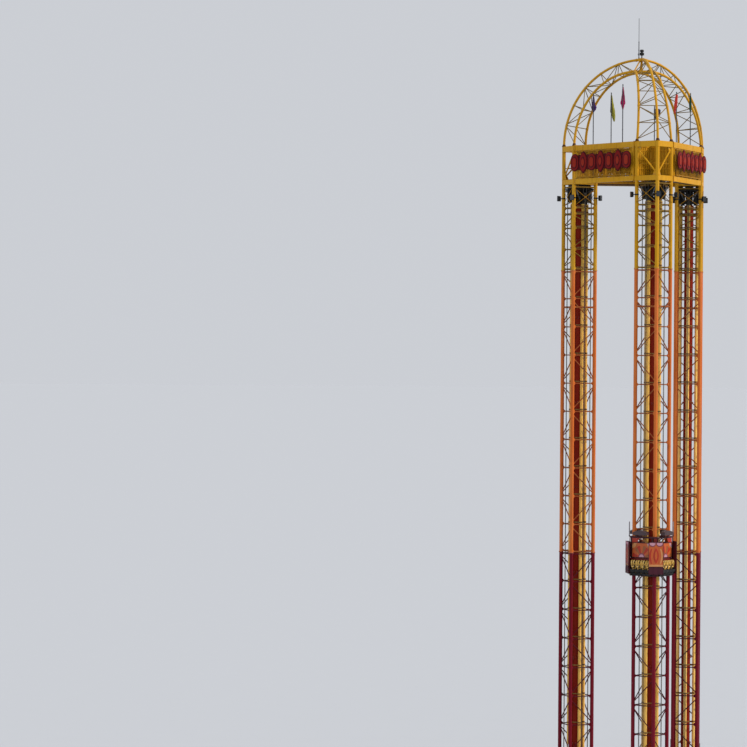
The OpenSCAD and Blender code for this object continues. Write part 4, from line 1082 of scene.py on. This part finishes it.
def flag(k, p):
    direction, s, top, length, width, hang, colour = p
    if colour == "magenta":
        hang = -20
    nu, nv = 48, 44
    z_high = Z_TOP + top - 0.060
    hoist = length - 0.010
    pts = []
    for i in range(nu + 1):
        u = i / nu
        left, right = along(SPREAD[colour], u)
        root = 0.0 if left < 0 else left * 0.85      # low down the cloth leaves the pole
        for j in range(nv + 1):
            v = j / nv
            # From the pole to the one side, across in front of the pole to the other side, and a part of the way back
            if v < 0.25:
                w = ease(v / 0.25)
                x, y = root + (left - root) * w, 0.0265 - 0.012 * w
            elif v < 0.75:
                w = ease((v - 0.25) / 0.50)
                x, y = left + (right - left) * w, 0.0145 + 0.024 * sin(pi * min(1.0, 1.5 * w)) if w < 0.333 else 0.0385 - 0.020 * ease((w - 0.45) / 0.55)
            else:
                w = ease((v - 0.75) / 0.25)
                x, y = right - (right - left) * 0.42 * w, 0.0185 - 0.034 * w
            y += 0.0045 * sin(2 * pi * (3.2 * v + 0.9 * u) + 1.3 * k) + 0.003 * sin(2 * pi * (7.1 * v - 1.7 * u) + k)
            if abs(x) < 0.034 and v < 0.80:
                y = max(y, 0.0262)
            elif abs(x) < 0.034:
                y = min(y, -0.0262)
            y = max(-0.043, min(0.043, y))
            z = z_high - u * hoist - 0.020 * v * (1 - u) + 0.006 * sin(2 * pi * 2 * v) * u
            pts.append(Vector((x, y, z)))
    b = Build()
    b.at = centre(direction) @ Matrix.Translation((POLE_R, s * POLE_Y, 0)) @ rot_z(hang - direction)
    faces = [[i * (nv + 1) + j, (i + 1) * (nv + 1) + j, (i + 1) * (nv + 1) + j + 1, i * (nv + 1) + j + 1] for i in range(nu) for j in range(nv)]
    b.add(pts, faces, "flag_" + colour, closed=False)
    o = piece("flag_" + colour, b, "tower", ["flags"])
    thick = o.modifiers.new("thickness", "SOLIDIFY")
    thick.thickness = 0.0012
    thick.offset = 0
    # Ties that hold the hoist to the pole
    t = Build()
    t.at = b.at
    for u in (0.03, 0.30, 0.58):
        z = z_high - u * hoist
        t.hoop((0, 0, z), (0, 0, 1), [(POLE_D / 2 - 0.001, -0.009), (POLE_D / 2 + 0.005, -0.007), (POLE_D / 2 + 0.005, 0.007), (POLE_D / 2 - 0.001, 0.009)], "grey", 16)
    ties = piece("flag_" + colour + "_ties", t, "tower")
    return o


for k, p in enumerate(POLES):
    flag(k, p)

b = Build()
for direction, s, top, length, width, hang, colour in POLES:
    b.at = centre(direction) @ Matrix.Translation((POLE_R, s * POLE_Y, 0))
    z = Z_TOP + top
    b.lathe((0, 0, z - 0.004), (0, 0, 1), [(0, 0), (0.030, 0), (0.030, 0.012), (0.018, 0.018), (0.026, 0.034), (0.028, 0.048), (0.020, 0.064), (0, 0.070)], "pole", 16)
    for zz in (Z_TOP - 0.180, Z_TOP - 0.090):
        b.hoop((0, 0, zz), (0, 0, 1), [(0.022, -0.016), (0.034, -0.014), (0.034, 0.014), (0.022, 0.016)], "pole", 16)
        b.bolt((0.0, 0.034, zz), (0, 1, 0), r=0.008)
    b.hoop((0, 0, Z_TOP + 0.60), (0, 0, 1), [(0.022, -0.020), (0.028, -0.016), (0.028, 0.016), (0.022, 0.020)], "pole", 16)
piece("pole_fittings", b, "tower")

# ------------------------------------------------------------------ carriages
CUT_IN = RHO + CHORD / 2 + 0.022
CUT_OUT = CUT_IN + 0.084
RING_IN, RING_OUT = 0.670, 0.770
PANEL_Q, PANEL_T, PANEL_HW = 1.110, 0.025, 0.345


def eight(half, cut):
    y = cut * sqrt(2) - half
    return [(half, -y), (half, y), (y, half), (-y, half), (-half, y), (-half, -y), (-y, -half), (y, -half)]


def arch(r, zc, half, n=18):
    w = math.asin(half / r)
    return [(r * sin(-w + 2 * w * i / n), zc + r * cos(-w + 2 * w * i / n)) for i in range(n + 1)]


def half_disc(r, cy, cz, n=16, a0=0.0, a1=180.0):
    return [(cy + r * cos(radians(a0 + (a1 - a0) * i / n)), cz + r * sin(radians(a0 + (a1 - a0) * i / n))) for i in range(n + 1)]


for mast, angle in ANG.items():
    body = mast + "_carriage"
    base = mast_matrix(angle) @ Matrix.Translation((0, 0, CAR_Z[mast]))
    FF = [base @ rot_z(45 + 90 * k) for k in range(4)]
    CC = [base @ rot_z(90 * k) for k in range(4)]

    # ---- frame, canopies, skirts, rods
    b = Build()
    b.at = base @ rot_z(45)
    for z0, z1, m in ((0.060, 0.190, "steel"), (0.785, 0.875, "rail_red"), (1.500, 1.570, "plum"), (1.800, 1.880, "steel")):
        b.ring(eight(RING_OUT, CUT_OUT), eight(RING_IN, CUT_IN), z0, z1, m)
    for k, F in enumerate(FF):
        b.at = F
        side = -1 if k % 2 else 1        # the face's end at a side corner
        for s in (-1, 1):
            b.box((RING_IN + 0.010, s * 0.545 - 0.030, 0.060), (RING_IN + 0.080, s * 0.545 + 0.030, 1.880), "steel")
            for z in (0.190, 0.875, 1.570):
                b.prism([(s * 0.515, z), (s * 0.415, z), (s * 0.515, z + 0.10)], RING_IN + 0.040, RING_IN + 0.050, "steel", PX, 0.001)
            # Light angle braces from the top frame to the posts and the panel
            if s == side:
                b.rod((RING_OUT - 0.030, s * 0.530, 1.610), (RING_OUT - 0.030, s * 0.220, 1.850), 0.014, "rod", 8)
            else:
                b.rod((RING_OUT - 0.030, s * 0.230, 1.590), (RING_OUT - 0.030, -s * 0.084, 1.830), 0.014, "p_tan", 8)
            # Tie rods behind the panel
            b.rod((RING_IN + 0.045, s * 0.515, 0.90), (RING_IN + 0.045, -s * 0.515, 1.49), 0.012, "steel", 8)
        # Red plate over the panel at the side corner's end
        b.prism([(side * 0.535, 1.585), (side * 0.535, 1.797), (side * 0.130, 1.797), (side * 0.230, 1.660), (side * 0.250, 1.585)], RING_OUT - 0.012, RING_OUT - 0.002, "p_red", PX, 0.002)
        # Seat brackets, deeper at the frame
        for i in range(5):
            y = (i - 2) * 0.270 * 0.98
            b.prism([(RING_OUT - 0.010, 0.062), (RING_OUT - 0.010, 0.190), (RING_OUT + 0.140, 0.190), (RING_OUT + 0.140, 0.150), (RING_OUT + 0.100, 0.120)], y - 0.010, y + 0.010, "seat_black", PY)
        b.box((RING_OUT + 0.005, -0.535, 0.088), (RING_OUT + 0.065, 0.535, 0.190), "seat_black")
        b.box((RING_OUT + 0.100, -0.535, 0.150), (RING_OUT + 0.135, 0.535, 0.192), "seat_black")
        # Hood: arched roof, front board, closed ends and a rounded rim
        xa, xb = RING_OUT - 0.020, RING_OUT + 0.225
        ZC, ZU = 1.265, 1.945
        outer, inner = arch(0.900, ZC, 0.370), arch(0.872, ZC, 0.352)
        rows = [[(xa + (xb - xa) * t, y, z - drop) for y, z in outer] + [(xa + (xb - xa) * t, y, z - drop) for y, z in inner[::-1]] for t, drop in ((0, 0), (0.4, 0), (0.75, 0.004), (0.93, 0.014), (1.0, 0.030))]
        b.loft(rows, "canopy")
        b.prism([(-0.366, ZU)] + [(y, z - 0.030) for y, z in arch(0.896, ZC, 0.366)] + [(0.366, ZU)], xb - 0.026, xb - 0.003, "canopy", PX, 0.006)
        b.prism([(-0.352, ZU)] + [(y, z - 0.03) for y, z in arch(0.885, ZC, 0.352)] + [(0.352, ZU)], xa, xa + 0.018, "canopy", PX)
        for s in (-1, 1):
            b.prism([(xa, ZU), (xb - 0.006, ZU), (xb - 0.006, ZU + 0.108), (xa, ZU + 0.128)], s * 0.360 - 0.009, s * 0.360 + 0.009, "canopy", PY)
            b.box((xa, s * 0.230 - 0.030, 1.860), (xa + 0.024, s * 0.230 + 0.030, ZU + 0.035), "steel")
            b.rod((xa + 0.02, s * 0.250, 1.885), (xb - 0.050, s * 0.250, ZU + 0.060), 0.010, "steel", 8)
        b.rod((xb - 0.014, -0.366, ZU + 0.006), (xb - 0.014, 0.366, ZU + 0.006), 0.012, "canopy", 10)
        for t in (0.33, 0.66):
            b.tube([(xa + (xb - xa) * t, y, z - 0.004) for y, z in arch(0.872, ZC, 0.340)], 0.009, "steel", 8)
    for k, C in enumerate(CC):
        b.at = C
        for z in (0.800, 1.500):
            b.box((CUT_OUT - 0.020, -0.030, z), (PANEL_Q, 0.030, z + 0.060), "steel")
            b.prism([(CUT_OUT - 0.012, z), (PANEL_Q - 0.01, z), (CUT_OUT - 0.012, z - 0.10)], -0.005, 0.005, "steel", PY, 0.001)
        b.box((CUT_OUT - 0.020, -0.030, 0.175), (PANEL_Q + 0.010, 0.030, 0.235), "steel")
        b.box((CUT_OUT - 0.004, -0.073, 1.573), (CUT_OUT + 0.006, 0.073, 1.797), "rail_red", 0.002)
        # Dark skirt with a sunk field between its rims
        b.box((PANEL_Q, -PANEL_HW, 0.165), (PANEL_Q + PANEL_T - 0.008, PANEL_HW, 0.510), "plum")
        for z in (0.179, 0.496):
            b.box((PANEL_Q + 0.002, -PANEL_HW, z - 0.014), (PANEL_Q + PANEL_T, PANEL_HW, z + 0.014), "plum", 0.003)
        for y in (-0.331, -0.115, 0.115, 0.331):
            b.box((PANEL_Q + 0.002, y - 0.014, 0.168), (PANEL_Q + PANEL_T, y + 0.014, 0.507), "plum", 0.003)
        # Side walls from the frame's corner to the panel's edges, with pressed ribs, and the frame behind
        for s in (-1, 1):
            b.prism([(CUT_OUT - 0.006, s * 0.078), (CUT_OUT - 0.006, s * 0.094), (PANEL_Q, s * 0.342), (PANEL_Q, s * 0.320)], 0.165, 1.640, "plum", PZ, 0.002)
            d = Vector((PANEL_Q - CUT_OUT + 0.006, s * 0.248, 0)).normalized()
            nrm = Vector((-d.y, d.x, 0)) * s
            for w in (0.22, 0.50, 0.78):
                p = Vector((CUT_OUT - 0.006, s * 0.094, 0)) + Vector((PANEL_Q - CUT_OUT + 0.006, s * 0.248, 0)) * w
                b.prism([tuple((p + d * e + nrm * f)[:2]) for e, f in ((-0.014, -0.004), (0.014, -0.004), (0.010, 0.007), (-0.010, 0.007))], 0.200, 1.600, "rail_red", PZ, 0.001)
            b.box((PANEL_Q - 0.034, s * 0.270 - 0.014, 0.180), (PANEL_Q + 0.002, s * 0.270 + 0.014, 1.610), "steel")
        if k in (1, 3):
            b.box((CUT_OUT - 0.030, -0.020, 1.850), (CUT_OUT + 0.050, 0.020, 1.880), "steel")
            b.rod((CUT_OUT + 0.030, 0, 1.878), (CUT_OUT + 0.030, 0, 2.540), 0.024, "rod", 16)
            b.hoop((CUT_OUT + 0.030, 0, 2.20), (0, 0, 1), [(0.023, -0.02), (0.029, -0.018), (0.029, 0.018), (0.023, 0.02)], "rod", 20)
            b.lathe((CUT_OUT + 0.030, 0, 1.876), (0, 0, 1), [(0, 0), (0.036, 0), (0.036, 0.010), (0.027, 0.016), (0.027, 0.05), (0, 0.05)], "steel", 16)
    piece(mast + "_carriage_structure", b, body, [mast + "_carriage_frame"])

    # ---- decorated panels: fans, bands and scallops in relief
    b = Build()
    for F in FF:
        b.at = F
        x = RING_OUT
        b.box((x, -0.540, 0.900), (x + 0.012, 0.540, 1.600), "plum")
        b.box((x + 0.006, -0.530, 0.912), (x + 0.016, 0.530, 1.588), "p_orange", 0.002)
        # Rays of a fan round a lilac half disc
        for i in range(9):
            w0, w1 = radians(20 * i), radians(20 * i + 20)
            r0 = 0.17
            ry, rz = 0.50, 0.52
            poly = [(r0 * cos(w0), 0.935 + r0 * sin(w0)), (ry * cos(w0), 0.935 + rz * sin(w0)), (ry * cos((w0 + w1) / 2) * 1.02, 0.935 + rz * sin((w0 + w1) / 2) * 1.02),
                    (ry * cos(w1), 0.935 + rz * sin(w1)), (r0 * cos(w1), 0.935 + r0 * sin(w1))]
            b.prism(poly, x + 0.012, x + (0.022 if i % 2 else 0.018), ("p_brown", "p_orange", "p_red")[i % 3], PX, 0.002)
        b.prism(half_disc(0.180, 0, 0.935), x + 0.012, x + 0.026, "p_mauve", PX, 0.003)
        b.prism(half_disc(0.125, 0, 0.935), x + 0.024, x + 0.031, "p_lilac", PX, 0.002)
        # Upper corners: tan quarter discs with a lilac rim
        for s in (-1, 1):
            for r, m, t in ((0.25, "p_tan", 0.020), (0.205, "p_lilac" if s > 0 else "p_tan", 0.025), (0.10, "p_brown", 0.029)):
                poly = [(s * 0.525, 1.583)] + [(s * (0.525 - r * cos(radians(9 * i))), 1.583 - r * sin(radians(9 * i))) for i in range(11)]
                b.prism(poly, x + 0.012, x + t, m, PX, 0.0015)
        for z in (0.915, 1.585):
            b.box((x + 0.010, -0.538, z - 0.013), (x + 0.030, 0.538, z + 0.013), "plum", 0.003)
        for s in (-1, 1):
            b.box((x + 0.010, s * 0.527 - 0.011, 0.902), (x + 0.028, s * 0.527 + 0.011, 1.598), "plum", 0.003)
    for k, C in enumerate(CC):
        b.at = C
        q = PANEL_Q
        side_shade = k % 2 == 1
        b.box((q, -PANEL_HW, 0.520), (q + 0.010, PANEL_HW, 1.640), "plum")
        # Painted shade: the panels at the side corners take darker mauve and brown in place of orange and tan.
        b.box((q + 0.004, -PANEL_HW + 0.008, 0.605), (q + 0.014, PANEL_HW - 0.008, 1.630), "p_mauve" if side_shade else "p_orange", 0.002)
        b.box((q + 0.004, -PANEL_HW + 0.008, 0.528), (q + 0.020, PANEL_HW - 0.008, 0.620), "p_brown" if side_shade else "p_tan", 0.003)
        # Two lilac scallops at the top
        for s in (-1, 1):
            cy = s * 0.168
            poly = [(cy + 0.158, 1.625), (cy - 0.158, 1.625), (cy - 0.158, 1.560)] + [(cy - 0.158 * cos(radians(180 * i / 14)), 1.560 - 0.120 * sin(radians(180 * i / 14))) for i in range(1, 14)] + [(cy + 0.158, 1.560)]
            b.prism(poly, q + 0.010, q + 0.019, "p_mauve", PX, 0.003)
            poly = [(cy + 0.128, 1.618), (cy - 0.128, 1.618), (cy - 0.128, 1.566)] + [(cy - 0.128 * cos(radians(180 * i / 14)), 1.566 - 0.082 * sin(radians(180 * i / 14))) for i in range(1, 14)] + [(cy + 0.128, 1.566)]
            b.prism(poly, q + 0.017, q + 0.025, "p_lilac", PX, 0.003)
        # Tall red leaf with bands beside it
        leaf = [(0.125 * sin(pi * i / 12) ** 0.8, 0.665 + 0.72 * i / 12) for i in range(13)]
        leaf = leaf + [(-y, z) for y, z in leaf[-2:0:-1]]
        b.prism(leaf, q + 0.010, q + 0.020, "p_red", PX, 0.003)
        small = [(0.060 * sin(pi * i / 10) ** 0.8, 0.805 + 0.44 * i / 10) for i in range(11)]
        small = small + [(-y, z) for y, z in small[-2:0:-1]]
        b.prism(small, q + 0.018, q + 0.025, "p_orange", PX, 0.002)
        for s in (-1, 1):
            side = [(s * (0.180 + 0.060 * sin(pi * i / 10)), 0.665 + 0.68 * i / 10) for i in range(11)] + [(s * (0.235 + 0.085 * sin(pi * i / 10)), 0.665 + 0.68 * i / 10) for i in range(10, -1, -1)]
            b.prism(side, q + 0.010, q + 0.018, "p_red" if s < 0 else "p_tan", PX, 0.002)
            b.box((q + 0.004, s * 0.337 - 0.008, 0.523), (q + 0.024, s * 0.337 + 0.008, 1.637), "plum", 0.002)
        b.box((q + 0.004, -0.343, 1.622), (q + 0.024, 0.343, 1.638), "plum", 0.002)
    piece(mast + "_carriage_reliefs", b, body, [mast + "_carriage_panels"])

    # ---- seats
    shell, back, tubes, pads = Build(), Build(), Build(), Build()
    for F in FF:
        for i in range(4):
            y0 = (i - 1.5) * 0.270
            T = F @ Matrix.Translation((0, y0, 0))
            for bb in (shell, back, tubes, pads):
                bb.at = T
            # Pan: dished seat with raised sides, thick rounded front lip and a belly underneath
            rows = []
            for j in range(13):
                t = -1 + 2 * j / 12
                y = 0.129 * t
                dish = abs(t) ** 2.4
                edge = 0.012 * max(0.0, abs(t) - 0.8) / 0.2
                top = [(0.824 + edge, 0.345 + 0.045 * dish), (0.862, 0.332 + 0.060 * dish), (0.905, 0.336 + 0.062 * dish), (0.950, 0.350 + 0.052 * dish), (0.982 - edge, 0.366 + 0.034 * dish), (0.996 - edge, 0.362 + 0.022 * dish)]
                under = [(1.000 - edge, 0.330), (0.990 - edge, 0.290), (0.955, 0.236 + 0.020 * dish), (0.905, 0.202 + 0.026 * dish), (0.850, 0.192 + 0.030 * dish), (0.824 + edge, 0.200 + 0.030 * dish)]
                rows.append([(x, y, z) for x, z in top + under])
            shell.loft(rows, "seat_black")
            # Centre post between the legs
            shell.lathe((0.958, 0, 0.345), (0.25, 0, 1), [(0, 0), (0.020, 0), (0.017, 0.030), (0.014, 0.075), (0.018, 0.090), (0.012, 0.102), (0, 0.104)], "seat_black", 12)
            # Back: tall shell with side wings and a rounded head
            rows = []
            for j in range(17):
                v = j / 16
                z = 0.195 + 0.580 * v
                w = 0.122 * (1 - 0.10 * sin(pi * v)) if v < 0.72 else 0.122 * (0.92 - 0.42 * ((v - 0.72) / 0.28) ** 2.2)
                lean = 0.010 * (1 - v) + 0.004 * sin(pi * v)
                wing = 0.040 * (1 - 0.55 * v)
                front = [(0.790 + lean + wing * abs(t) ** 2.6, w * t, z) for t in (1, 0.86, 0.66, 0.36, 0, -0.36, -0.66, -0.86, -1)]
                rear = [(0.774 + 0.016 * abs(t) ** 3, w * t, z) for t in (-1, -0.7, -0.3, 0.3, 0.7, 1)]
                rows.append(front + rear)
            back.loft(rows, "seat_yellow")
            # Dark pads on the back and at the head
            for zc, zh, wy in ((0.690, 0.060, 0.062), (0.490, 0.100, 0.070)):
                rows = []
                for j in range(9):
                    t = -1 + 2 * j / 8
                    g = sqrt(max(0.0, 1 - (t * 0.98) ** 4))
                    rows.append([(0.792 + 0.020 * g * max(0.12, sqrt(max(0.0, 1 - (s * 0.99) ** 4))) if abs(s) <= 1 else 0.79, wy * g * s, zc + zh * t) for s in (1, 0.8, 0.4, 0, -0.4, -0.8, -1)]
                                + [(0.786, wy * g * s, zc + zh * t) for s in (-1, 1)])
                back.loft(rows, "pad_dark")
            # Shoulder harness: bent tube with moulded pads
            for s in (-1, 1):
                ys = s * 0.062
                path = [(0.790, ys * 0.9, 0.700), (0.800, ys * 0.95, 0.735), (0.825, ys, 0.762), (0.860, ys, 0.774), (0.893, ys, 0.766), (0.915, ys, 0.740), (0.924, ys, 0.700),
                        (0.924, ys, 0.620), (0.920, ys, 0.550), (0.914, ys * 0.96, 0.510), (0.912, ys * 0.75, 0.492), (0.912, ys * 0.35, 0.486), (0.912, 0, 0.485)]
                tubes.tube(path, 0.010, "rod", 8)
                pad = [(0.806, ys, 0.746), (0.828, ys, 0.765), (0.860, ys, 0.776), (0.892, ys, 0.768), (0.915, ys, 0.741), (0.924, ys, 0.702), (0.925, ys, 0.650), (0.924, ys, 0.600), (0.921, ys, 0.560), (0.917, ys * 0.98, 0.530)]
                sc = [0.35, 0.78, 0.95, 1.0, 1.0, 1.0, 0.98, 0.95, 0.85, 0.40]
                sec = [(0.030 * cos(w) * (1 if abs(cos(w)) < 0.8 else 0.96), 0.023 * sin(w)) for w in [2 * pi * q / 14 for q in range(14)]]
                pads.sweep(pad, sec, "pad", up=(0, 1, 0), scale=sc)
            cross = [(0.916, -0.058, 0.500), (0.918, -0.040, 0.492), (0.919, -0.015, 0.489), (0.919, 0.015, 0.489), (0.918, 0.040, 0.492), (0.916, 0.058, 0.500)]
            pads.sweep(cross, [(0.022 * cos(w), 0.028 * sin(w)) for w in [2 * pi * q / 14 for q in range(14)]], "pad", up=(0, 0, 1), scale=[0.55, 0.9, 1, 1, 0.9, 0.55])
            for s in (-1, 1):      # hand grips
                tubes.tube([(0.922, s * 0.058, 0.560), (0.946, s * 0.066, 0.552), (0.950, s * 0.070, 0.580), (0.948, s * 0.070, 0.630), (0.926, s * 0.064, 0.640)], 0.007, "seat_black", 8)
    piece(mast + "_seat_shells", shell, body, [mast + "_seat_pans"])
    piece(mast + "_seat_back_shells", back, body, [mast + "_seat_backs"])
    o = piece(mast + "_harness_pads", pads, body, [mast + "_harnesses"])
    piece(mast + "_harness_tubes", tubes, body)

# ------------------------------------------------------------------ camera, floor and light
sc = bpy.context.scene
AZ, DIST, HIGH, YAW, PITCH, ROLL, FOCAL = -11.2715, 159.246, 21.2042, 4.4943, -0.309, 0.4004, 3384.2
a = radians(AZ)
d = Vector((-sin(a), cos(a), 0))
eye = Vector((0, 0.751, 0)) - DIST * d + Vector((0, 0, HIGH))
fwd = Matrix.Rotation(radians(YAW), 3, "Z") @ d
fwd = fwd * cos(radians(PITCH)) + Vector((0, 0, sin(radians(PITCH))))
right = fwd.cross(Vector((0, 0, 1))).normalized()
up = right.cross(fwd)
r = radians(ROLL)
right, up = right * cos(r) + up * sin(r), -right * sin(r) + up * cos(r)
cam_data = bpy.data.cameras.new("camera")
cam_data.sensor_width = 36.0
cam_data.lens = FOCAL / 747 * 36.0
cam_data.clip_start, cam_data.clip_end = 1.0, 3000.0
cam = bpy.data.objects.new("camera", cam_data)
sc.collection.objects.link(cam)
m = Matrix((right, up, -(fwd.normalized()))).transposed().to_4x4()
cam.matrix_world = Matrix.Translation(eye) @ m
sc.camera = cam

sc.view_settings.view_transform = "Standard"
sc.view_settings.look = "None"

world = bpy.data.worlds.new("studio")
sc.world = world
world.use_nodes = True
bg = world.node_tree.nodes["Background"]
bg.inputs[0].default_value = (0.60, 0.62, 0.66, 1)
bg.inputs[1].default_value = 1.0

floor_mat = Tree("studio_floor")
fn = floor_mat.noise(0.6, 2)
floor_mat.set(color=floor_mat.mix(fn, (0.467, 0.502, 0.553, 1), (0.475, 0.510, 0.561, 1)), rough=1.0, spec=0.0)
bm = bmesh.new()
bmesh.ops.create_circle(bm, cap_ends=True, segments=96, radius=2200.0)
me = bpy.data.meshes.new("floor")
bm.to_mesh(me)
bm.free()
floor = bpy.data.objects.new("floor", me)
me.materials.append(floor_mat.mat)
sc.collection.objects.link(floor)
floor.location = (0, 0, -0.002)


def sun(name, az, el, strength, angle, color):
    ld = bpy.data.lights.new(name, "SUN")
    ld.energy = strength
    ld.angle = radians(angle)
    ld.color = color
    o = bpy.data.objects.new(name, ld)
    sc.collection.objects.link(o)
    az, el = radians(az), radians(el)
    to = Vector((sin(az) * cos(el), -cos(az) * cos(el), sin(el)))  # towards the light; az 0 is the front, 90 the right
    o.rotation_mode = "QUATERNION"
    o.rotation_quaternion = to.to_track_quat("Z", "Y")
    return o


sun("key", 74, 32, 3.5, 14, (1.0, 0.88, 0.74))
sun("fill", -45, 20, 0.8, 90, (0.95, 0.97, 1.0))
